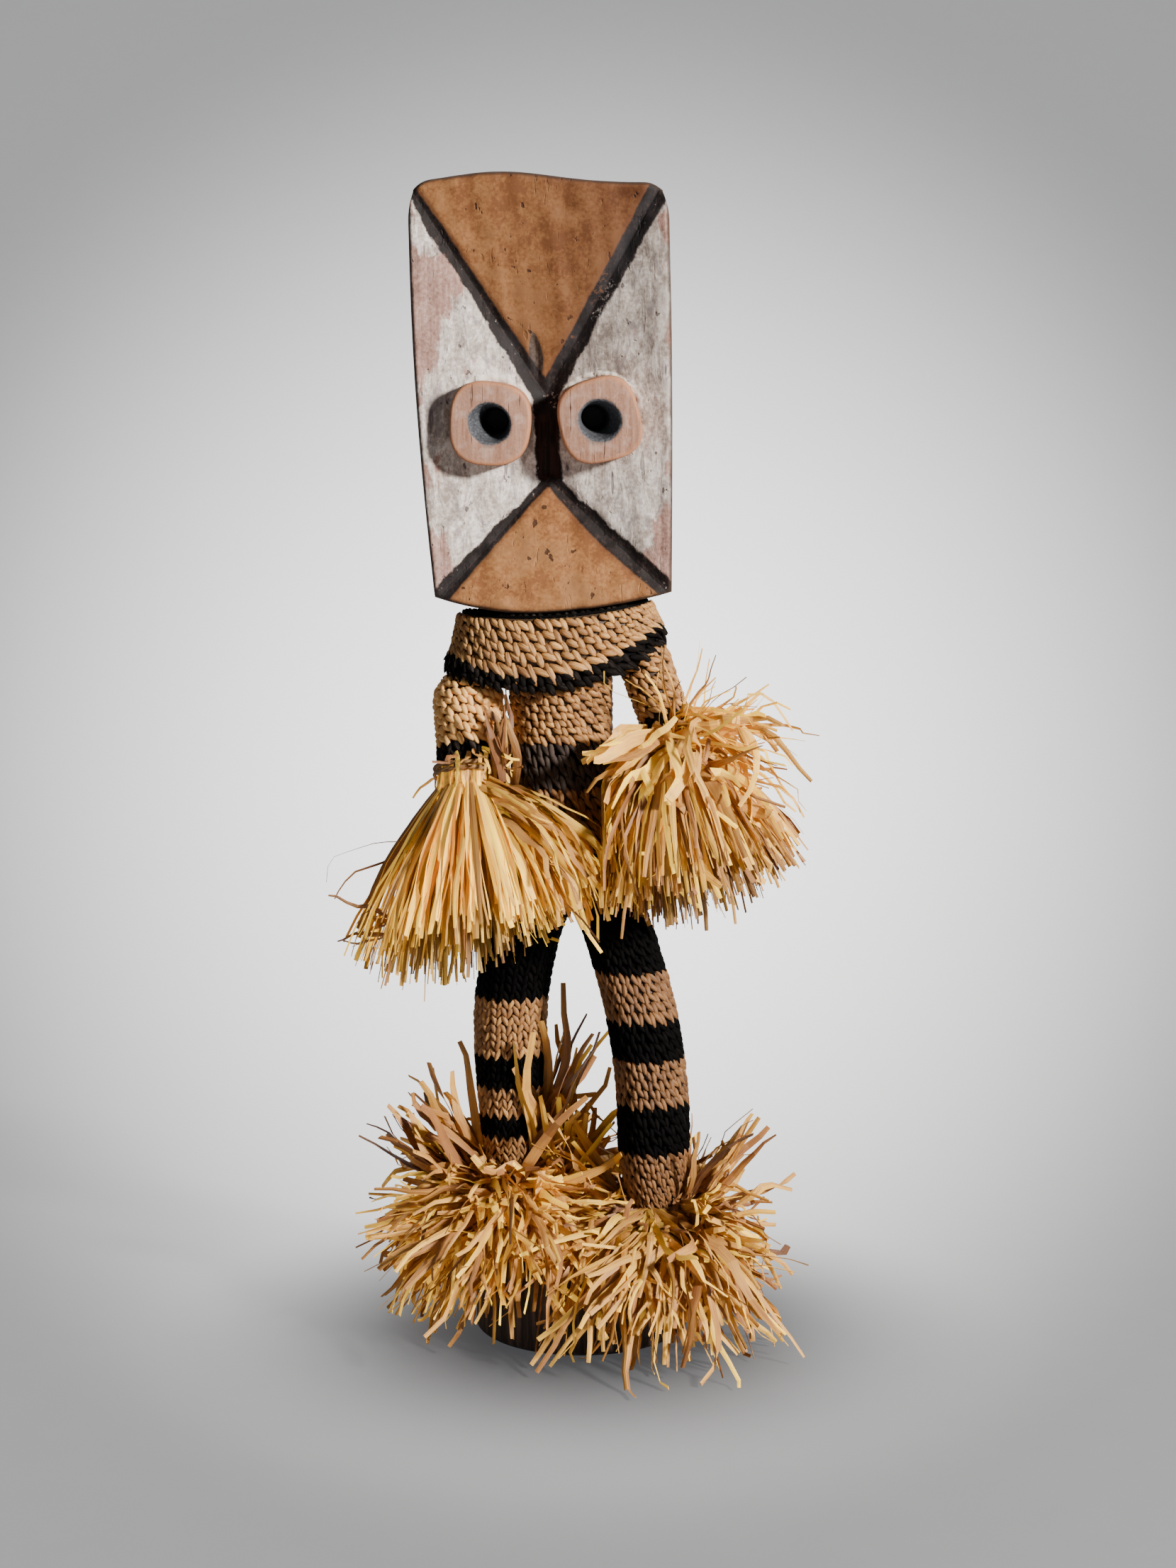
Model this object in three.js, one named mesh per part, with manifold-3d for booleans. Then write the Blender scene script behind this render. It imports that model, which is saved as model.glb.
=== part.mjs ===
// Masked dancer figure: carved wooden face, crocheted striped suit, raffia skirts and ruffs, drum base.
// Millimetres, Z up, the figure faces -Y. Left and right are the figure's own.
import * as THREE from 'three';
import { mergeVertices } from 'three/addons/utils/BufferGeometryUtils.js';
import { ConvexGeometry } from 'three/addons/geometries/ConvexGeometry.js';
import Module from 'manifold-3d';

const wasm = await Module();
wasm.setup();

// Fits
const GAP = 0.3;
const SWING_GAP = 0.45;
const SUIT_WALL = 4.2;

// Base drum
const BASE_RADIUS = 51;
const BASE_HEIGHT = 42;
const BASE_EDGE = 3;
const PEG_IN_BASE = 24;

// Trunk of the suit
const HIP_Z = 204;
const HIP_BLACK_HEIGHT = 28;
const HIP_NATURAL_HEIGHT = 30;
const WAIST_HEIGHT = 21;
const HIP_BLACK_TOP = HIP_Z + HIP_BLACK_HEIGHT;
const HIP_NATURAL_TOP = HIP_BLACK_TOP + HIP_NATURAL_HEIGHT;
const WAIST_TOP = HIP_NATURAL_TOP + WAIST_HEIGHT;
const HIP_HALF_WIDTH = 34.5;
const CHEST_HALF_WIDTH = 23.4;
const HIP_HALF_DEPTH = 18.2;
const CHEST_HALF_DEPTH = 19;
const HIP_X = -4.5;
const CHEST_X = -9.3;

// Yoke over the shoulders
const YOKE_X = -12;
const YOKE_Y = -1;
const YOKE_LOW = 322;
const YOKE_BLACK_HEIGHT = 12.7;
const YOKE_NATURAL_HEIGHT = 8.1;
const COLLAR_HEIGHT = 1.8;
const YOKE_BLACK_TOP = YOKE_LOW + YOKE_BLACK_HEIGHT;
const YOKE_NATURAL_TOP = YOKE_BLACK_TOP + YOKE_NATURAL_HEIGHT;
const COLLAR_TOP = YOKE_NATURAL_TOP + COLLAR_HEIGHT;
const COLLAR_INSET = 2.6;
const YOKE_LOW_WIDTH = 106;
const YOKE_TOP_WIDTH = 89;
const YOKE_LOW_DEPTH = 52;
const YOKE_TOP_DEPTH = 46;
const YOKE_HEM_SAG = 14;
const YOKE_EDGES = [
  { z: YOKE_LOW, slope: 0.1, sag: YOKE_HEM_SAG },
  { z: YOKE_BLACK_TOP, slope: 0.146, sag: 19.3 },
  { z: YOKE_NATURAL_TOP, slope: 0.05, sag: 5 },
];

// Leg posts and leggings
const TENON_RADIUS = 5.5;
const TENON_LENGTH = 15;
const ANKLE_POST_RADIUS = 6;
const RIGHT_LEG = {
  foot: [-34, 14],
  hip: [-22, 2],
  kneeZ: 140,
  ankleZ: 70,
  fullZ: 150,
  ankleRadius: 10.6,
  thighRadius: 16.9,
  bandTops: [90.8, 101.3, 115.1, 130.7, 158.9],
};
const LEFT_LEG = {
  foot: [34, -20],
  hip: [13, -2],
  kneeZ: 100,
  ankleZ: 66,
  fullZ: 100,
  ankleRadius: 10.6,
  thighRadius: 16.3,
  bandTops: [89.5, 111.7, 133.2, 151.5, 173.8],
};

// Neck and head
const HEAD_AT = [-12.4, 0, 347];
const HEAD_LEAN_DEG = 2.1;
const NECK_RADIUS = 14.5;
const NECK_PLAY = 1;
const NECK_IN_YOKE = 22;
const PEG_RADIUS = 7;
const PEG_IN_NECK = 34;
const PEG_IN_HEAD = 40;
const SEAT_RISE = 4;
const HEAD_BOTTOM_WIDTH = 108;
const HEAD_FLARE = 4.5;
const HEAD_TOP_WIDTH = HEAD_BOTTOM_WIDTH + 2 * HEAD_FLARE;
const HEAD_SIDE_TOP = 186;
const HEAD_SIDE_BOTTOM = 3;
const HEAD_STRAIGHT_FROM = 130;
const RIGHT_CHEEK_BULGE = 3;
const LEFT_CHEEK_BULGE = 1;
const HEAD_PEAK = 195;
const HEAD_PEAK_X = -16;
const CHIN_DROP = 8;
const HEAD_CORNER = 9;
const HEAD_CORNER_RISE = 2;
const HEAD_DEPTH = 46;
const HEAD_RIM = 15;
const BACK_ROUND = 8;
const BACK_FLATNESS = 0.45;
const CUT_SPARE = 30;
const FACE_Y = -22;
const DISH_DEPTH = 13;
const NOSE_LOW = 57;
const NOSE_TOP = 94;
const GROOVE_WIDTH = 8.6;
const NOSE_WIDTH = 10.4;

// Eye tubes
const RIGHT_EYE = [-25.6, 83];
const LEFT_EYE = [24, 82.6];
const EYE_RADIUS = 18.4;
const EYE_NARROWING = 0.93;
const EYE_HOLE_RADIUS = 9.7;
const EYE_FRONT = 9;
const EYE_SEAT = 14.5;
const EYE_HOLE_DEPTH = 17;
const EYE_EDGE = 2;

// Arms, hung under the ends of the yoke
const RIGHT_ARM_INSET = 12.5;
const LEFT_ARM_INSET = 11.5;
const RIGHT_ARM = {
  hinge: [YOKE_X - YOKE_LOW_WIDTH / 2 + RIGHT_ARM_INSET, -2, 300],
  aim: [0.01, -0.34, -0.94],
  radius: 15.6,
  wristRadius: 13.6,
  sleeve: 21,
  cuff: 29,
  wrist: 50.8,
};
const LEFT_ARM = {
  hinge: [YOKE_X + YOKE_LOW_WIDTH / 2 - LEFT_ARM_INSET, -2, 319],
  aim: [0.32, -0.3, -0.9],
  radius: 11.6,
  wristRadius: 11.2,
  sleeve: 27,
  cuff: 33.5,
  wrist: 52,
};

// Raffia and its cords
const STRAND_LEVELS = 4;
const STRAND_WIDTH = 2;
const STRAND_TIP = 0.5;
const STRAND_STEPS = 2;
const STRAND_CLEAR = 0.8;
const STRAND_APART = 0.25;
const STRAND_TRIES = 6;
const FLOOR_CLEAR = 2.5;
const HEADING_WALL = 4.6;
const RUFF_ABOVE_BASE = 6;
const SKIRT_PLANE_X = 10;
const SKIRT_PLANE_CLEAR = 2;
const CORD_RADIUS = 1.1;
const CORD_PITCH = 2.8;
const CORD_TURNS = 2;
const CORD_STEPS = 18;
const CORD_SIDES = 5;
const CORD_ZONE = CORD_PITCH * CORD_TURNS + 2 * CORD_RADIUS + 1;

const RIGHT_SKIRT = {
  seed: 11,
  side: -1,
  axis: [0.09, -0.24, -0.97],
  spread: 0.58,
  length: 78,
  perLevel: 22,
};
const LEFT_SKIRT = {
  seed: 23,
  side: 1,
  axis: [0.2, -0.26, -0.94],
  spread: 0.58,
  length: 76,
  perLevel: 19,
};
const RIGHT_RUFF = { seed: 37, low: -38, high: 46, length: 76, droop: 0.42, perLevel: 22 };
const LEFT_RUFF = { seed: 51, low: -40, high: 44, length: 76, droop: 0.45, perLevel: 22 };

// How a skirt's strands differ: shares of the spread and of the length, and how each new try draws in
const SKIRT_GROWTH = {
  spreadLeast: 0.08,
  spreadByLevel: 0.84,
  spreadStray: 0.08,
  spreadDrawnIn: 0.12,
  lengthLeast: 0.88,
  lengthStray: 0.2,
  lengthDrawnIn: 0.14,
  bendAt: 0.36,
  bendOut: 0.45,
};

// How a ruff's strands differ: degrees of rise, and shares of the length
const RUFF_GROWTH = {
  rootShares: [0.25, 0.75],
  riseStray: 10,
  riseByTry: 9,
  lengthLeast: 0.55,
  lengthStray: 0.5,
  lengthDrawnIn: 0.12,
  bendAt: 0.5,
  bendRise: 0.3,
  droopLeast: 0.4,
  droopStray: 0.6,
};

// Facets
const LEG_SEGMENTS = 16;
const TRUNK_SEGMENTS = 26;
const ROUND_SEGMENTS = 24;
const DRUM_SEGMENTS = 32;
const SOCKET_SEGMENTS = [20, 12];
const DOME_STEPS = 5;
const OUTLINE_STEPS = 6;
const PLAN_STEPS = 8;
const SAMPLES_PER_STEP = 9;
const DEG = Math.PI / 180;

const colours = {
  wood: ['#6b4a33', 0.75],
  base: ['#3c2d26', 0.7],
  face: ['#b98a5e', 0.7],
  eye: ['#c79a78', 0.75],
  natural: ['#c8a073', 0.9],
  black: ['#2d2a2a', 0.92],
  raffia: ['#d9b67c', 0.85],
  stuffing: ['#cbb894', 0.95],
};

function material(name) {
  const [colour, roughness] = colours[name];
  return new THREE.MeshStandardMaterial({ color: colour, roughness, metalness: 0 });
}

// Geometry helpers

function signedVolume(geometry) {
  const position = geometry.attributes.position;
  const index = geometry.index;
  const a = new THREE.Vector3();
  const b = new THREE.Vector3();
  const c = new THREE.Vector3();
  let volume = 0;
  for (let i = 0; i < index.count; i += 3) {
    a.fromBufferAttribute(position, index.getX(i));
    b.fromBufferAttribute(position, index.getX(i + 1));
    c.fromBufferAttribute(position, index.getX(i + 2));
    volume += a.dot(b.cross(c)) / 6;
  }
  return volume;
}

// One closed skin with its faces turned out.
function closed(geometry) {
  geometry.deleteAttribute('normal');
  geometry.deleteAttribute('uv');
  const merged = mergeVertices(geometry, 1e-4);
  const old = merged.index.array;
  const kept = [];
  for (let i = 0; i < old.length; i += 3) {
    const [a, b, c] = [old[i], old[i + 1], old[i + 2]];
    if (a !== b && b !== c && c !== a) kept.push(a, b, c);
  }
  merged.setIndex(kept);
  if (signedVolume(merged) < 0) {
    const turned = [];
    for (let i = 0; i < kept.length; i += 3) turned.push(kept[i], kept[i + 2], kept[i + 1]);
    merged.setIndex(turned);
  }
  return merged;
}

function solid(geometry) {
  const skin = closed(geometry);
  const vertProperties = new Float32Array(skin.attributes.position.array);
  const triVerts = new Uint32Array(skin.index.array);
  return new wasm.Manifold(new wasm.Mesh({ numProp: 3, vertProperties, triVerts }));
}

function skinOf(body) {
  const mesh = body.getMesh();
  const geometry = new THREE.BufferGeometry();
  geometry.setAttribute('position', new THREE.BufferAttribute(new Float32Array(mesh.vertProperties), 3));
  geometry.setIndex(new THREE.BufferAttribute(new Uint32Array(mesh.triVerts), 1));
  geometry.computeVertexNormals();
  return geometry;
}

function lathe(profile, segments) {
  const points = profile.map(([r, z]) => new THREE.Vector2(r, z));
  const geometry = new THREE.LatheGeometry(points, segments);
  geometry.rotateX(Math.PI / 2);
  return geometry;
}

function rod(radius, low, high, segments = ROUND_SEGMENTS) {
  return lathe([[0, low], [radius, low], [radius, high], [0, high]], segments);
}

function warp(geometry, move) {
  const position = geometry.attributes.position;
  const p = new THREE.Vector3();
  for (let i = 0; i < position.count; i += 1) {
    p.fromBufferAttribute(position, i);
    move(p);
    position.setXYZ(i, p.x, p.y, p.z);
  }
  return geometry;
}

// A lathe of radius about 1 is drawn out to the limb's own section; its radius carries the offset.
const OFFSET_SCALE = 1000;

function atOffset(offset) {
  return 1 + offset / OFFSET_SCALE;
}

function drape(geometry, limb) {
  return warp(geometry, (p) => {
    const length = Math.hypot(p.x, p.y);
    const [cx, cy] = limb.centre(p.z);
    if (length < 0.5) {
      p.set(cx, cy, p.z + limb.lift(cx, p.z));
      return;
    }
    const offset = (length - 1) * OFFSET_SCALE;
    const [a, b] = limb.half(p.z);
    const x = cx + (a + offset) * (p.x / length);
    const y = cy + (b + offset) * (p.y / length);
    p.set(x, y, p.z + limb.lift(x, p.z));
  });
}

const BAND_ROUND = 0.9;

// A band of the suit: a closed sleeve of the limb's own section with softly rounded edges.
function bandOf(limb, low, high, segments) {
  const middle = (low + high) / 2;
  const inner = atOffset(-SUIT_WALL);
  const edge = atOffset(-BAND_ROUND);
  const outside = [[edge, low], [atOffset(0), middle], [edge, high]];
  const profile = [[inner, low], ...outside, [inner, high], [inner, low]];
  return solid(drape(lathe(profile, segments), limb));
}

// The filling of a limb, GAP inside the suit.
function fillOf(limb, levels, segments) {
  const r = atOffset(-SUIT_WALL - GAP);
  const side = levels.map((z) => [r, z]);
  const profile = [[0, levels[0]], ...side, [0, levels[levels.length - 1]]];
  return solid(drape(lathe(profile, segments), limb));
}

const flat = () => 0;

function lerp(a, b, t) {
  return a + (b - a) * Math.min(1, Math.max(0, t));
}

// Limbs: centre line, half widths and the lift of each level

const trunk = {
  centre: (z) => [lerp(HIP_X, CHEST_X, (z - HIP_Z) / (WAIST_TOP - HIP_Z)), 0],
  half: (z) => {
    const t = Math.min(1, (z - HIP_Z) / (WAIST_TOP - HIP_Z));
    const ease = 1 - (1 - t) * (1 - t);
    const width = lerp(HIP_HALF_WIDTH, CHEST_HALF_WIDTH, ease);
    return [width, lerp(HIP_HALF_DEPTH, CHEST_HALF_DEPTH, ease)];
  },
  lift: flat,
};

// Each edge round of the yoke slopes to the figure's left and hangs lowest between the shoulders.
function yokeLift(x, z) {
  const [hem, seam, top] = YOKE_EDGES;
  const [from, to] = z < seam.z ? [hem, seam] : [seam, top];
  const t = Math.min(1, (z - from.z) / (to.z - from.z));
  const side = (x - YOKE_X) / (YOKE_LOW_WIDTH / 2);
  const sag = lerp(from.sag, to.sag, t) * Math.max(0, 1 - side * side);
  return lerp(from.slope, to.slope, t) * (x - YOKE_X) - sag;
}

function yokeHalf(z) {
  const t = (z - YOKE_LOW) / (COLLAR_TOP - YOKE_LOW);
  return [lerp(YOKE_LOW_WIDTH, YOKE_TOP_WIDTH, t) / 2, lerp(YOKE_LOW_DEPTH, YOKE_TOP_DEPTH, t) / 2];
}

const yoke = {
  centre: () => [YOKE_X, YOKE_Y],
  half: yokeHalf,
  lift: yokeLift,
};

// The collar is the suit's first round, drawn in under the chin.
const collar = {
  centre: yoke.centre,
  half: (z) => yokeHalf(z).map((half) => half - COLLAR_INSET),
  lift: yokeLift,
};

// The chest band runs up to the hem of the yoke, so its top takes the hem's line.
const CHEST_TOP = YOKE_LOW - GAP;
const chest = {
  centre: trunk.centre,
  half: trunk.half,
  lift: (x, z) => yokeLift(x, YOKE_LOW) * Math.max(0, (z - WAIST_TOP) / (CHEST_TOP - WAIST_TOP)),
};

function legLimb(leg) {
  return {
    centre: (z) => {
      const t = Math.max(0, (z - leg.kneeZ) / (HIP_Z - leg.kneeZ));
      const bend = t * t;
      return [lerp(leg.foot[0], leg.hip[0], bend), lerp(leg.foot[1], leg.hip[1], bend)];
    },
    half: (z) => {
      const t = Math.min(1, Math.max(0, (z - leg.ankleZ) / (leg.fullZ - leg.ankleZ)));
      const radius = lerp(leg.ankleRadius, leg.thighRadius, 1 - (1 - t) * (1 - t));
      return [radius, radius];
    },
    lift: flat,
  };
}

const rightLimb = legLimb(RIGHT_LEG);
const leftLimb = legLimb(LEFT_LEG);

// Base, legs and trunk

function baseBlock() {
  const low = BASE_RADIUS - BASE_EDGE;
  const profile = [
    [0, 0],
    [low, 0],
    [BASE_RADIUS, BASE_EDGE],
    [BASE_RADIUS, BASE_HEIGHT - BASE_EDGE],
    [low, BASE_HEIGHT],
    [0, BASE_HEIGHT],
  ];
  let block = solid(lathe(profile, DRUM_SEGMENTS));
  for (const leg of [RIGHT_LEG, LEFT_LEG]) {
    const socket = rod(ANKLE_POST_RADIUS + GAP, BASE_HEIGHT - PEG_IN_BASE - GAP, BASE_HEIGHT + 1);
    socket.translate(leg.foot[0], leg.foot[1], 0);
    block = block.subtract(solid(socket));
  }
  return block;
}

// A turned post: a peg in the base, an ankle, a calf and thigh inside the legging, a tenon in the hips.
function legPost(leg, limb) {
  const heel = BASE_HEIGHT - PEG_IN_BASE;
  const foot = rod(ANKLE_POST_RADIUS, heel, leg.ankleZ + 1);
  foot.translate(leg.foot[0], leg.foot[1], 0);
  const top = HIP_Z - GAP;
  const levels = [leg.ankleZ + GAP, ...leg.bandTops, top];
  const tenon = rod(TENON_RADIUS, top - 5, HIP_Z + TENON_LENGTH);
  tenon.translate(leg.hip[0], leg.hip[1], 0);
  return fillOf(limb, levels, LEG_SEGMENTS).add(solid(foot)).add(solid(tenon));
}

const headMatrix = new THREE.Matrix4()
  .makeTranslation(HEAD_AT[0], HEAD_AT[1], HEAD_AT[2])
  .multiply(new THREE.Matrix4().makeRotationY(-HEAD_LEAN_DEG * DEG));

function onNeck(geometry) {
  return geometry.applyMatrix4(headMatrix);
}

function shoulderSocket(arm) {
  const ball = new THREE.SphereGeometry(arm.radius + SWING_GAP, ...SOCKET_SEGMENTS);
  ball.translate(arm.hinge[0], arm.hinge[1], arm.hinge[2]);
  return solid(ball);
}

function torsoCore() {
  const inYoke = (YOKE_LOW + YOKE_BLACK_TOP) / 2;
  const bodyLevels = [HIP_Z + GAP, HIP_BLACK_TOP, HIP_NATURAL_TOP, WAIST_TOP, inYoke];
  const body = fillOf(trunk, bodyLevels, TRUNK_SEGMENTS);
  const shoulders = fillOf(yoke, [YOKE_LOW + GAP, YOKE_BLACK_TOP, YOKE_NATURAL_TOP], TRUNK_SEGMENTS);
  const seat = SEAT_RISE - GAP;
  const neck = onNeck(rod(NECK_RADIUS, -NECK_IN_YOKE, seat));
  const pegHole = onNeck(rod(PEG_RADIUS + GAP, seat - PEG_IN_NECK - GAP, SEAT_RISE + 1));
  let core = body.add(shoulders).add(solid(neck)).subtract(solid(pegHole));
  for (const leg of [RIGHT_LEG, LEFT_LEG]) {
    const mortise = rod(TENON_RADIUS + GAP, HIP_Z - 1, HIP_Z + TENON_LENGTH + GAP);
    mortise.translate(leg.hip[0], leg.hip[1], 0);
    core = core.subtract(solid(mortise));
  }
  for (const arm of [RIGHT_ARM, LEFT_ARM]) core = core.subtract(shoulderSocket(arm));
  return core;
}

function neckPeg() {
  const seat = SEAT_RISE - GAP;
  return solid(onNeck(rod(PEG_RADIUS, seat - PEG_IN_NECK, SEAT_RISE + PEG_IN_HEAD - GAP)));
}

function yokeBand(limb, low, high) {
  let band = bandOf(limb, low, high, TRUNK_SEGMENTS);
  for (const arm of [RIGHT_ARM, LEFT_ARM]) band = band.subtract(shoulderSocket(arm));
  return band;
}

// Head: the outline seen from the front and the half-log plan cut each other, then the face is dished

function headOutline() {
  const half = HEAD_BOTTOM_WIDTH / 2;
  const top = HEAD_TOP_WIDTH / 2;
  const shape = new THREE.Shape();
  shape.moveTo(-half, HEAD_SIDE_BOTTOM);
  shape.quadraticCurveTo(HEAD_PEAK_X, HEAD_SIDE_BOTTOM - 2 * CHIN_DROP, half, HEAD_SIDE_BOTTOM);
  shape.quadraticCurveTo(half + LEFT_CHEEK_BULGE, HEAD_SIDE_TOP / 2, top, HEAD_STRAIGHT_FROM);
  shape.lineTo(top, HEAD_SIDE_TOP - HEAD_CORNER);
  const corner = top - HEAD_CORNER;
  const cornerTop = HEAD_SIDE_TOP + HEAD_CORNER_RISE;
  shape.quadraticCurveTo(top, HEAD_SIDE_TOP, corner, cornerTop);
  shape.quadraticCurveTo(HEAD_PEAK_X, 2 * HEAD_PEAK - cornerTop, -corner, cornerTop);
  shape.quadraticCurveTo(-top, HEAD_SIDE_TOP, -top, HEAD_SIDE_TOP - HEAD_CORNER);
  shape.quadraticCurveTo(-half - RIGHT_CHEEK_BULGE, HEAD_SIDE_TOP / 2, -half, HEAD_SIDE_BOTTOM);
  const depth = HEAD_DEPTH + 2 * CUT_SPARE;
  const cut = { depth, bevelEnabled: false, curveSegments: OUTLINE_STEPS };
  const block = new THREE.ExtrudeGeometry(shape, cut);
  block.rotateX(Math.PI / 2);
  block.translate(0, FACE_Y + HEAD_DEPTH + CUT_SPARE, 0);
  return solid(block);
}

function headPlan() {
  const half = HEAD_TOP_WIDTH / 2 + BACK_ROUND / 2;
  const rim = FACE_Y + HEAD_RIM;
  const back = FACE_Y + HEAD_DEPTH;
  const [turnX, turnY] = [half - BACK_ROUND, back - BACK_ROUND];
  const flatX = half * BACK_FLATNESS;
  const shape = new THREE.Shape();
  shape.moveTo(-half, FACE_Y);
  shape.lineTo(half, FACE_Y);
  shape.lineTo(half, rim);
  shape.bezierCurveTo(turnX, turnY, flatX, back, 0, back);
  shape.bezierCurveTo(-flatX, back, -turnX, turnY, -half, rim);
  shape.closePath();
  const depth = HEAD_PEAK + 2 * CUT_SPARE;
  const cut = { depth, bevelEnabled: false, curveSegments: PLAN_STEPS };
  const log = new THREE.ExtrudeGeometry(shape, cut);
  log.translate(0, 0, -CUT_SPARE);
  return solid(log);
}

// The dish falls from the four corners to the line of the nose.
const DISH_STRETCH = 1.25;

function faceCorners() {
  const low = HEAD_BOTTOM_WIDTH / 2;
  const high = HEAD_TOP_WIDTH / 2;
  const top = HEAD_SIDE_TOP + HEAD_CORNER_RISE;
  return [[-high, top, NOSE_TOP], [high, top, NOSE_TOP], [-low, 0, NOSE_LOW], [low, 0, NOSE_LOW]];
}

function faceDish() {
  const nose = FACE_Y + DISH_DEPTH;
  const points = [new THREE.Vector3(0, nose, NOSE_LOW), new THREE.Vector3(0, nose, NOSE_TOP)];
  for (const [x, z, noseZ] of faceCorners()) {
    const start = new THREE.Vector3(0, nose, noseZ);
    const corner = new THREE.Vector3(x, FACE_Y, z);
    points.push(corner.sub(start).multiplyScalar(DISH_STRETCH).add(start));
  }
  return solid(new ConvexGeometry(points));
}

// A bar of diamond section, broader than it is deep.
const GROOVE_FLATNESS = 0.5;

function bar(from, to, width) {
  const along = to.clone().sub(from);
  const stick = new THREE.CylinderGeometry(width / 2, width / 2, along.length(), 4);
  along.normalize();
  const side = new THREE.Vector3().crossVectors(along, new THREE.Vector3(0, 1, 0)).normalize();
  const deep = new THREE.Vector3().crossVectors(side, along).multiplyScalar(GROOVE_FLATNESS);
  stick.applyMatrix4(new THREE.Matrix4().makeBasis(side, along, deep));
  const middle = from.clone().add(to).multiplyScalar(0.5);
  stick.translate(middle.x, middle.y, middle.z);
  return solid(stick);
}

function faceGrooves() {
  const nose = FACE_Y + DISH_DEPTH;
  const low = new THREE.Vector3(0, nose, NOSE_LOW);
  const top = new THREE.Vector3(0, nose, NOSE_TOP);
  let grooves = bar(low, top, NOSE_WIDTH);
  for (const [x, z, noseZ] of faceCorners()) {
    const start = new THREE.Vector3(0, nose, noseZ);
    const corner = new THREE.Vector3(x, FACE_Y, z);
    const end = corner.clone().sub(start).multiplyScalar(DISH_STRETCH).add(start);
    grooves = grooves.add(bar(start, end, GROOVE_WIDTH));
  }
  return grooves;
}

// Local to the face: the tube's axis runs forward, and it is a little narrower than tall.
function onFace(geometry, eye) {
  geometry.scale(EYE_NARROWING, 1, 1);
  geometry.rotateX(Math.PI / 2);
  geometry.translate(eye[0], FACE_Y, eye[1]);
  return geometry;
}

function eyeTube(eye) {
  const hole = EYE_FRONT - EYE_HOLE_DEPTH;
  const profile = [
    [0, GAP - EYE_SEAT],
    [EYE_RADIUS, GAP - EYE_SEAT],
    [EYE_RADIUS, EYE_FRONT - EYE_EDGE],
    [EYE_RADIUS - EYE_EDGE, EYE_FRONT],
    [EYE_HOLE_RADIUS, EYE_FRONT],
    [EYE_HOLE_RADIUS, hole],
    [0, hole],
  ];
  return solid(onNeck(onFace(lathe(profile, ROUND_SEGMENTS), eye)));
}

function headBlock() {
  let head = headOutline().intersect(headPlan()).subtract(faceDish()).subtract(faceGrooves());
  for (const eye of [RIGHT_EYE, LEFT_EYE]) {
    const socket = rod(EYE_RADIUS + GAP, -EYE_SEAT, EYE_FRONT + CUT_SPARE);
    head = head.subtract(solid(onFace(socket, eye)));
  }
  const recess = rod(NECK_RADIUS + NECK_PLAY, -CUT_SPARE, SEAT_RISE);
  const pegHole = rod(PEG_RADIUS + GAP, -CUT_SPARE, SEAT_RISE + PEG_IN_HEAD);
  head = head.subtract(solid(recess)).subtract(solid(pegHole));
  return solid(onNeck(skinOf(head)));
}

// Arms, built along -Z from the shoulder and then aimed

function armMatrix(arm) {
  const aim = new THREE.Vector3(...arm.aim).normalize();
  const turn = new THREE.Quaternion().setFromUnitVectors(new THREE.Vector3(0, 0, -1), aim);
  const at = new THREE.Vector3(...arm.hinge);
  return new THREE.Matrix4().compose(at, turn, new THREE.Vector3(1, 1, 1));
}

function armRadius(arm, s) {
  return lerp(arm.radius, arm.wristRadius, s / arm.cuff);
}

function dome(radius, steps) {
  const points = [];
  for (let i = 1; i <= steps; i += 1) {
    const angle = (90 * DEG * i) / steps;
    points.push([radius * Math.sin(angle), radius * Math.cos(angle)]);
  }
  return points;
}

function sleeveCap(arm) {
  const s = arm.sleeve - GAP;
  const inside = arm.radius - SUIT_WALL;
  const profile = [
    [0, arm.radius],
    ...dome(arm.radius, DOME_STEPS),
    [armRadius(arm, s), -s],
    [armRadius(arm, s) - SUIT_WALL, -s],
    ...dome(inside, DOME_STEPS).reverse(),
    [0, inside],
  ];
  return solid(lathe(profile, LEG_SEGMENTS).applyMatrix4(armMatrix(arm)));
}

function sleeveCuff(arm) {
  const low = arm.cuff - GAP;
  const profile = [
    [armRadius(arm, arm.sleeve), -arm.sleeve],
    [armRadius(arm, low), -low],
    [armRadius(arm, low) - SUIT_WALL, -low],
    [armRadius(arm, arm.sleeve) - SUIT_WALL, -arm.sleeve],
    [armRadius(arm, arm.sleeve), -arm.sleeve],
  ];
  return solid(lathe(profile, LEG_SEGMENTS).applyMatrix4(armMatrix(arm)));
}

function armStuffing(arm) {
  const inset = SUIT_WALL + GAP;
  const profile = [
    [0, arm.radius - inset],
    ...dome(arm.radius - inset, DOME_STEPS),
    [arm.wristRadius - inset, -arm.cuff],
    [arm.wristRadius - inset, -arm.wrist + 1],
    [0, -arm.wrist + 1],
  ];
  return solid(lathe(profile, LEG_SEGMENTS).applyMatrix4(armMatrix(arm)));
}

// Raffia

function randomSource(seed) {
  let state = seed;
  return () => {
    state = (state * 16807) % 2147483647;
    return state / 2147483647;
  };
}

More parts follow.
